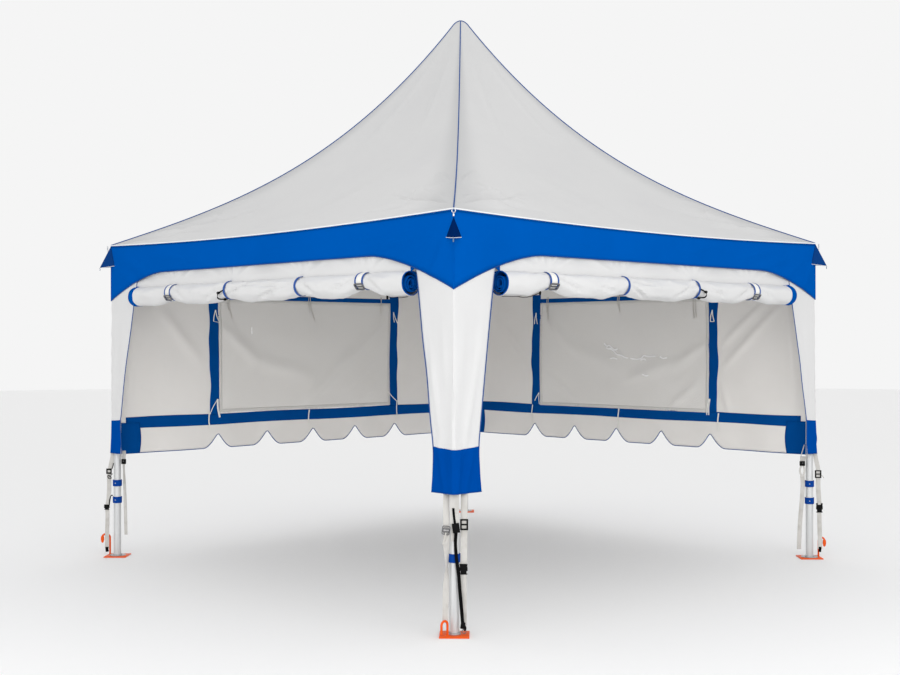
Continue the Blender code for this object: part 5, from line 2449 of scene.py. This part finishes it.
def near_tether(shape: TentShape) -> Tether:
    """Straps of the front right corner: one to each side and one across the leg.

    Args:
        shape: Dimensions of the tent.

    Returns:
        The corner's tether, not yet built.
    """
    tether = Tether(Corner.FRONT_RIGHT, shape, Corner.FRONT_RIGHT)
    tether.strap([(-0.046, 0.885, -0.012), (-0.048, 0.800, 0.014), (-0.048, 0.720, 0.026),
                  (-0.047, 0.640, 0.034)],
                 0.036)
    tether.wire_buckle((-0.0485, 0.634, 0.040), 6.0)
    tether.strap([(-0.049, 0.620, 0.048), (-0.058, 0.585, 0.060), (-0.066, 0.556, 0.062),
                  (-0.054, 0.556, 0.064), (-0.040, 0.585, 0.058)], 0.008)
    tether.strap([(-0.045, 0.630, 0.036), (-0.047, 0.555, 0.034), (-0.045, 0.485, 0.032),
                  (-0.044, 0.415, 0.030), (-0.046, 0.360, 0.028), (-0.050, 0.290, 0.026),
                  (-0.052, 0.205, 0.024), (-0.054, 0.086, 0.022)],
                 0.036, [0.0, 8.0, 40.0, 74.0, 45.0, 12.0, 0.0, 0.0])
    tether.strap([(0.060, 0.885, -0.024), (0.060, 0.800, 0.010), (0.0595, 0.700, 0.020),
                  (0.0595, 0.650, 0.020)],
                 0.040)
    tether.ladder_lock((0.0595, 0.666, 0.022), (0.048, 0.066), 2)
    tether.strap([(0.059, 0.660, 0.020), (0.058, 0.560, 0.020), (0.057, 0.470, 0.020),
                  (0.056, 0.410, 0.020)], 0.040)
    tether.side_release((0.0553, 0.400, 0.021), (0.046, 0.066))
    tether.strap([(0.056, 0.390, 0.020), (0.0575, 0.250, 0.018), (0.0575, 0.130, 0.016),
                  (0.057, 0.062, 0.014)],
                 0.034)
    tether.strap([(0.001, 0.885, 0.032), (0.001, 0.790, 0.035), (0.002, 0.715, 0.035), (0.001, 0.672, 0.035)],
                 0.056)
    tether.strap([(-0.012, 0.712, 0.034), (-0.010, 0.650, 0.034), (-0.009, 0.568, 0.034)], 0.020)
    tether.strap([(0.018, 0.735, 0.038), (0.017, 0.700, 0.040), (0.017, 0.672, 0.041)], 0.026)
    tether.strap([(-0.005, 0.766, 0.038), (-0.001, 0.720, 0.040), (0.006, 0.670, 0.042)], 0.014,
                 kind=tether.black)
    tether.plastic.append(tether.put(block((0.044, 0.012, 0.058), 0.004, 3), (0.011, 0.648, 0.044), -8.0))
    tether.strap([(0.012, 0.630, 0.044), (0.008, 0.553, 0.042), (0.014, 0.466, 0.042), (0.026, 0.378, 0.040),
                  (0.032, 0.290, 0.038), (0.040, 0.202, 0.036), (0.047, 0.114, 0.034), (0.050, 0.078, 0.034)],
                 0.021, [20.0, 30.0, 20.0, 0.0, 0.0, 0.0, 0.0, 0.0], tether.black)
    tether.plastic.append(tether.put(block((0.028, 0.014, 0.040), 0.005, 3), (0.051, 0.066, 0.034), 8.0))
    tether.bent_rod([(0.056, 0.070, 0.034), (0.066, 0.058, 0.034), (0.066, 0.042, 0.034),
                     (0.056, 0.038, 0.034)],
                    0.0055)
    ring = cord(rounded_loop(0.024, 0.024, 0.0115), 0.0022, closed=True)
    tether.plated.append(tether.put(ring, (0.058, 0.030, 0.030)))
    return tether


# Inner frame


@dataclass
class InnerFrame:
    """Beams, brackets, mast and stays, with the fittings that hold them.

    Attributes:
        shape: Dimensions of the tent.
        lug_level: Height of a stay's outer end.
        ring_level: Height of the centre ring.
        ring_radius: Its radius.
        corner_gap: Distance of a stay's outer end from the leg's axis.
        beam_face: Distance of the bolted faces from the tent's axis.
        bolt_level: Height of the bolts.
        bolt_depth: Distance of their heads inside that face.
        bolt_places: Their places along a beam.
    """

    shape: TentShape
    lug_level: float = 2.440
    ring_level: float = 2.235
    ring_radius: float = 0.050
    corner_gap: float = 0.0503
    beam_face: float = 2.0303
    bolt_level: float = 2.485
    bolt_depth: float = 0.0403
    bolt_places: tuple[float, float] = (1.955, 1.925)

    def finish_nodes(self) -> None:
        """Give the frame's own solids their finishes."""
        finishes = {"eave_beam": FRAME_TUBE, "corner_bracket": CAST_METAL, "cross_stays": WIRE_ROPE,
                    "centre_mast": FRAME_TUBE, "mast_foot": CAST_METAL, "mast_cap": CAST_METAL}
        for name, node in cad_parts.items():
            for start, finish in finishes.items():
                if name.startswith(start):
                    node.material_slots[0].material = finish.material()

    def stay_ends(self) -> tuple[Vector, Vector]:
        """Ends of the stay that runs to the front right corner.

        Returns:
            Its ends at the ring and at the corner.
        """
        reach = self.shape.half * math.sqrt(2) - self.corner_gap
        return OUTWARD * self.ring_radius + UP * self.ring_level, OUTWARD * reach + UP * self.lug_level

    def turnbuckle(self) -> Mesh:
        """Open turnbuckle on a stay, near its bracket.

        Returns:
            The turnbuckle at the front right corner.
        """
        start, end = self.stay_ends()
        pull = (end - start).normalized()
        rails = [block((0.110, 0.006, 0.010), 0.002, 2, (0.0, s * 0.011, 0.0)) for s in (-1, 1)]
        ends = [block((0.018, 0.030, 0.012), 0.003, 2, (s * 0.054, 0.0, 0.0)) for s in (-1, 1)]
        rod = moved(lathe([(0.0, -0.090), (0.0042, -0.088), (0.0042, 0.088), (0.0, 0.090)], 12),
                    turned(QUARTER, "Y"))
        nuts = [moved(lathe([(0.0, -0.003), (0.008, -0.003), (0.008, 0.003), (0.0, 0.003)], 6),
                      turned(QUARTER, "Y"), shift(s * 0.068))
                for s in (-1, 1)]
        turn = facing(pull, "X", "Z")
        return moved(gathered([*rails, *ends, rod, *nuts]), turn,
                     Matrix.Translation(end - pull * 0.16))

    def clamps(self) -> Mesh:
        """Two wire clamps beside the centre ring.

        Returns:
            The clamps of the front right stay.
        """
        start, end = self.stay_ends()
        pull = (end - start).normalized()
        parts = []
        for away in (0.035, 0.070):
            saddle = block((0.012, 0.016, 0.012), 0.002, 2)
            nuts = [moved(lathe([(0.0, 0.0), (0.004, 0.0), (0.004, 0.005), (0.0, 0.005)], 6),
                          shift(0.0, s * 0.005, 0.006)) for s in (-1, 1)]
            turn = facing(pull, "X", "Z")
            parts.append(moved(gathered([saddle, *nuts]), turn, Matrix.Translation(start + pull * away)))
        return gathered(parts)

    def bracket_bolts(self) -> Mesh:
        """Hexagon bolts through the beams and the leg at the front right corner.

        Returns:
            The four bolts.
        """
        parts = []
        face, depth, places = self.beam_face, self.bolt_depth, self.bolt_places
        spots = [(Vector((place, -face, self.bolt_level)), BACK * depth) for place in places]
        spots += [(Vector((face, -place, self.bolt_level)), RIGHT * -depth) for place in places]
        for spot, inward in spots:
            head = lathe([(0.0, 0.0), (0.0065, 0.0), (0.0065, 0.004), (0.0055, 0.005), (0.0, 0.005)], 6)
            turn = facing(inward, "Z", "Y")
            parts.append(moved(head, turn, Matrix.Translation(spot + inward)))
        return gathered(parts)

    def build(self) -> None:
        """Finish the frame's solids and add its fittings."""
        self.finish_nodes()
        for name, make in (("stay_turnbuckles", self.turnbuckle), ("stay_clamps", self.clamps),
                           ("bracket_bolts", self.bracket_bolts)):
            parts = [moved(make(), corner.turn) for corner in Corner]
            dress(name, gathered(parts), ZINC, Slot.WIRE)


# Camera and studio


@dataclass(frozen=True)
class Studio:
    """Camera at the photographed angle, pale floor and soft light.

    Attributes:
        frame_width: Width of the view in pixels.
        focal: Focal length in pixels.
        azimuth: Direction of the view.
        pitch: Upward tilt of the camera.
        roll: Sideways tilt of the camera.
        position: Place of the camera.
        sensor: Width of the sensor in millimetres.
        aim: Point that the lamps face.
        sky: Strength of the sky.
        floor_radius: Radius of the floor.
        lamps: Name, place, width and power of each lamp.
    """

    frame_width: float = 900.0
    focal: float = 1293.125
    azimuth: float = math.radians(46.34)
    pitch: float = 0.0034
    roll: float = -0.0014
    position: tuple[float, float, float] = (7.5884, -7.366, 1.7569)
    sensor: float = 36.0
    aim: tuple[float, float, float] = (0.0, 0.0, 1.6)
    sky: float = 0.93
    floor_radius: float = 40.0
    lamps: tuple[tuple[str, tuple[float, float, float], float, float], ...] = (
        ("key", (2.5, -9.5, 2.6), 5.0, 88.0),
        ("fill", (9.5, -2.0, 4.0), 5.0, 132.0),
        ("front", (6.0, -6.0, 4.5), 4.0, 60.0),
    )

    def build_camera(self) -> None:
        """Create the camera from the fitted view."""
        data = bpy.data.cameras.new("view")
        data.sensor_width = self.sensor
        data.lens = self.focal / self.frame_width * self.sensor
        data.clip_end = 200.0
        camera = bpy.data.objects.new("view", data)
        bpy.context.scene.collection.objects.link(camera)
        az, p = self.azimuth, self.pitch
        ahead = Vector((-math.sin(az) * math.cos(p), math.cos(az) * math.cos(p), math.sin(p)))
        level = Vector((math.cos(az), math.sin(az), 0.0))
        upright = level.cross(ahead)
        right = level * math.cos(self.roll) + upright * math.sin(self.roll)
        above = right.cross(ahead)
        turn = Matrix((right, above, -ahead)).transposed().to_4x4()
        camera.matrix_world = Matrix.Translation(self.position) @ turn
        bpy.context.scene.camera = camera

    def build_light(self) -> None:
        """Create an even sky and three broad lamps."""
        scene = bpy.context.scene
        scene.view_settings.view_transform = "Standard"
        world = bpy.data.worlds.new("soft_sky")
        world.use_nodes = True
        sky = world.node_tree.nodes["Background"]
        sky.inputs["Color"].default_value = linear("#FDFDFD")
        sky.inputs["Strength"].default_value = self.sky
        scene.world = world
        for name, spot, size, power in self.lamps:
            data = bpy.data.lights.new(name, "AREA")
            data.size = size
            data.energy = power
            lamp = bpy.data.objects.new(name, data)
            scene.collection.objects.link(lamp)
            lamp.location = spot
            heading = Vector(self.aim) - Vector(spot)
            lamp.rotation_euler = heading.to_track_quat("-Z", "Y").to_euler()

    def build_floor(self) -> None:
        """Create the plain pale floor."""
        bm = bmesh.new()
        bmesh.ops.create_circle(bm, cap_ends=True, segments=96, radius=self.floor_radius)
        mesh = bpy.data.meshes.new("floor")
        bm.to_mesh(mesh)
        bm.free()
        mesh.materials.append(STUDIO_FLOOR.material())
        floor = bpy.data.objects.new("floor", mesh)
        bpy.context.scene.collection.objects.link(floor)


# The whole tent

# Folds in the hung walls, from one (place, height) to another, half width and depth
LEFT_CREASES = creased(
    (1.64, 2.10, 1.13, 1.55, 0.060, 0.020),
    (1.84, 2.15, 1.88, 1.20, 0.040, 0.022),
    (1.02, 1.95, 0.55, 1.56, 0.060, 0.022),
    (0.72, 1.62, -0.10, 1.42, 0.080, 0.020),
    (-0.92, 1.95, -0.30, 1.48, 0.050, 0.026),
    (-0.55, 1.70, 0.06, 1.18, 0.045, 0.022),
    (-0.95, 1.66, -0.40, 1.28, 0.030, 0.014),
    (-0.96, 1.47, -0.52, 1.12, 0.028, 0.012),
    (-1.90, 2.30, -1.12, 1.60, 0.050, 0.018),
    (-1.95, 1.85, -1.15, 1.20, 0.050, 0.014),
)
BACK_CREASES = creased(
    (1.58, 2.00, 1.04, 1.50, 0.050, 0.018),
    (0.96, 2.02, 0.50, 1.62, 0.060, 0.022),
    (0.62, 1.72, -0.12, 1.48, 0.080, 0.022),
    (-1.00, 1.76, -0.60, 1.52, 0.045, 0.020),
    (-0.72, 1.60, 0.00, 1.38, 0.060, 0.018),
    (0.95, 1.48, 0.48, 1.18, 0.034, 0.014),
    (-0.92, 1.43, -0.52, 1.12, 0.030, 0.014),
    (-1.72, 2.08, -1.12, 1.50, 0.034, 0.024),
    (-1.60, 2.12, -1.10, 1.70, 0.030, 0.020),
    (-1.76, 2.20, -1.86, 1.20, 0.040, 0.024),
    (-1.13, 1.40, -1.22, 1.12, 0.030, 0.012),
)
# Folds on the rolls, as (place, height on the roll's face)
FRONT_FOLDS = creased(
    (-0.32, -0.06, 0.00, 0.10, 0.012, 0.010), (-0.20, 0.06, 0.50, 0.02, 0.014, 0.009),
    (0.00, -0.09, 0.52, 0.05, 0.014, 0.010), (0.56, 0.06, 0.80, -0.08, 0.014, 0.009),
    (-1.06, 0.07, -0.80, -0.06, 0.014, 0.008), (-0.62, -0.08, -0.34, 0.04, 0.014, 0.008),
    (1.24, 0.05, 1.45, -0.06, 0.014, 0.009), (0.92, -0.05, 1.18, 0.06, 0.014, 0.009),
)
RIGHT_FOLDS = creased(
    (-0.42, 0.00, -0.22, -0.09, 0.014, 0.012), (-0.44, 0.06, -0.10, 0.02, 0.012, 0.009),
    (-1.16, 0.06, -0.90, -0.05, 0.014, 0.009), (-0.85, 0.03, -0.50, -0.06, 0.015, 0.008),
    (0.05, -0.06, 0.34, 0.05, 0.014, 0.009), (0.42, 0.06, 0.72, -0.05, 0.014, 0.009),
    (0.82, -0.06, 1.08, 0.06, 0.014, 0.009), (1.14, 0.05, 1.34, -0.04, 0.014, 0.008),
)
# Tapes as (place, upper end, place of the lower end, lower end, width)
LEFT_TAPES = (
    (0.890, 2.19, 0.870, 1.97, 0.008), (0.905, 2.19, 0.902, 2.04, 0.006), (0.010, 2.19, -0.040, 1.96, 0.008),
    (0.022, 2.19, 0.016, 2.03, 0.006), (-0.860, 2.19, -0.850, 2.03, 0.008),
    (-0.845, 2.19, -0.880, 2.07, 0.006), (1.115, 1.15, 1.112, 1.00, 0.012),
    (0.025, 1.13, 0.030, 0.99, 0.012), (-1.060, 1.18, -1.062, 0.99, 0.010),
    (1.036, 2.04, 1.058, 1.94, 0.009), (1.036, 2.04, 1.002, 1.93, 0.009), (1.058, 1.94, 1.002, 1.93, 0.007),
    (-1.010, 2.05, -1.024, 1.95, 0.009), (-1.010, 2.05, -1.068, 1.94, 0.009),
    (1.028, 1.26, 1.010, 1.10, 0.018), (1.028, 1.26, 1.110, 1.13, 0.007), (-0.950, 1.27, -1.062, 1.17, 0.008),
)
BACK_TAPES = (
    (0.845, 2.19, 0.835, 1.97, 0.008), (0.860, 2.19, 0.862, 2.04, 0.006), (-0.025, 2.19, -0.030, 2.03, 0.008),
    (-0.010, 2.19, -0.006, 2.08, 0.006), (-0.880, 2.19, -0.875, 1.96, 0.008),
    (-0.900, 2.19, -0.898, 1.97, 0.006), (1.050, 1.14, 1.052, 0.97, 0.011),
    (-0.030, 1.14, -0.032, 0.96, 0.013), (-1.130, 1.14, -1.132, 0.98, 0.013),
    (1.008, 2.04, 1.030, 1.93, 0.009), (1.008, 2.04, 0.990, 1.93, 0.009),
    (-1.062, 2.03, -1.040, 1.93, 0.009), (-1.062, 2.03, -1.080, 1.93, 0.009),
    (-1.040, 1.93, -1.080, 1.93, 0.007), (0.965, 1.26, 1.022, 1.18, 0.008),
    (0.965, 1.26, 0.962, 1.15, 0.008), (-1.030, 1.26, -1.008, 1.12, 0.010),
    (-1.040, 1.26, -1.030, 1.12, 0.010),
)
# Sharp creases in the film, drawn white as painted glints, each a line of (place, height)
LEFT_MARKS = (((0.640, 1.89), (0.643, 1.86), (0.640, 1.83)),)
BACK_MARKS = (
    ((0.185, 1.745), (0.150, 1.715), (0.120, 1.722), (0.060, 1.682), (0.020, 1.690)),
    ((0.110, 1.690), (0.070, 1.672), (0.030, 1.640), (-0.020, 1.632), (-0.070, 1.612), (-0.110, 1.606)),
    ((0.160, 1.700), (0.125, 1.690), (0.090, 1.700)), ((0.100, 1.600), (0.060, 1.605), (0.020, 1.596)),
    ((-0.130, 1.604), (-0.200, 1.596), (-0.260, 1.606), (-0.290, 1.630), (-0.340, 1.622), (-0.420, 1.626)),
    ((-0.250, 1.588), (-0.290, 1.600), (-0.310, 1.590)), ((-0.470, 1.622), (-0.510, 1.606), (-0.550, 1.614)),
    ((-0.280, 1.462), (-0.320, 1.448), (-0.350, 1.452)),
)


def build_tent() -> None:
    """Build every sub-assembly of the tent in order."""
    shape = TentShape()
    Roof(shape).build()
    EaveBands(shape).build()
    CornerHoods(shape).build()
    Drapes(shape).build()
    HungWall(shape, Side.LEFT, (-1.027, -0.523, -0.0205, 0.496, 1.027), ((-1.075, -0.967), (1.003, 1.103)),
             (1.040, 1.135), (1.785, 1.785), LEFT_CREASES, LEFT_TAPES, LEFT_MARKS, 0.021).build()
    HungWall(shape, Side.BACK, (-1.042, -0.515, -0.001, 0.503, 1.018), ((-1.112, -1.016), (0.950, 1.062)),
             (1.060, 1.148), (1.785, 1.735), BACK_CREASES, BACK_TAPES, BACK_MARKS, -0.026).build()
    RolledWall(shape, Side.FRONT,
               ((-1.08, Strap.BUCKLED, 0.058), (-0.306, Strap.LOOPED, 0.062), (0.544, Strap.NARROW, 0.062),
                (1.208, Strap.BUCKLED, 0.051)), (1.63, 1.44), FRONT_FOLDS).build()
    RolledWall(shape, Side.RIGHT,
               ((-1.19, Strap.BUCKLED, 0.052), (-0.44, Strap.NARROW, 0.061), (0.365, Strap.LOOPED, 0.062),
                (1.11, Strap.BUCKLED, 0.059)), (-1.63, -1.28), RIGHT_FOLDS).build()
    Legs(shape).build()
    BasePlates(shape).build()
    near_tether(shape).build()
    left_tether(Corner.FRONT_LEFT, shape).build()
    right_tether(Corner.BACK_RIGHT, shape).build()
    left_tether(Corner.BACK_LEFT, shape).build()
    InnerFrame(shape).build()


def main() -> None:
    """Build the tent and the studio."""
    logging.basicConfig(level=logging.INFO, format="%(message)s")
    studio = Studio()
    studio.build_camera()
    studio.build_light()
    studio.build_floor()
    build_tent()


if __name__ == "__main__":
    main()
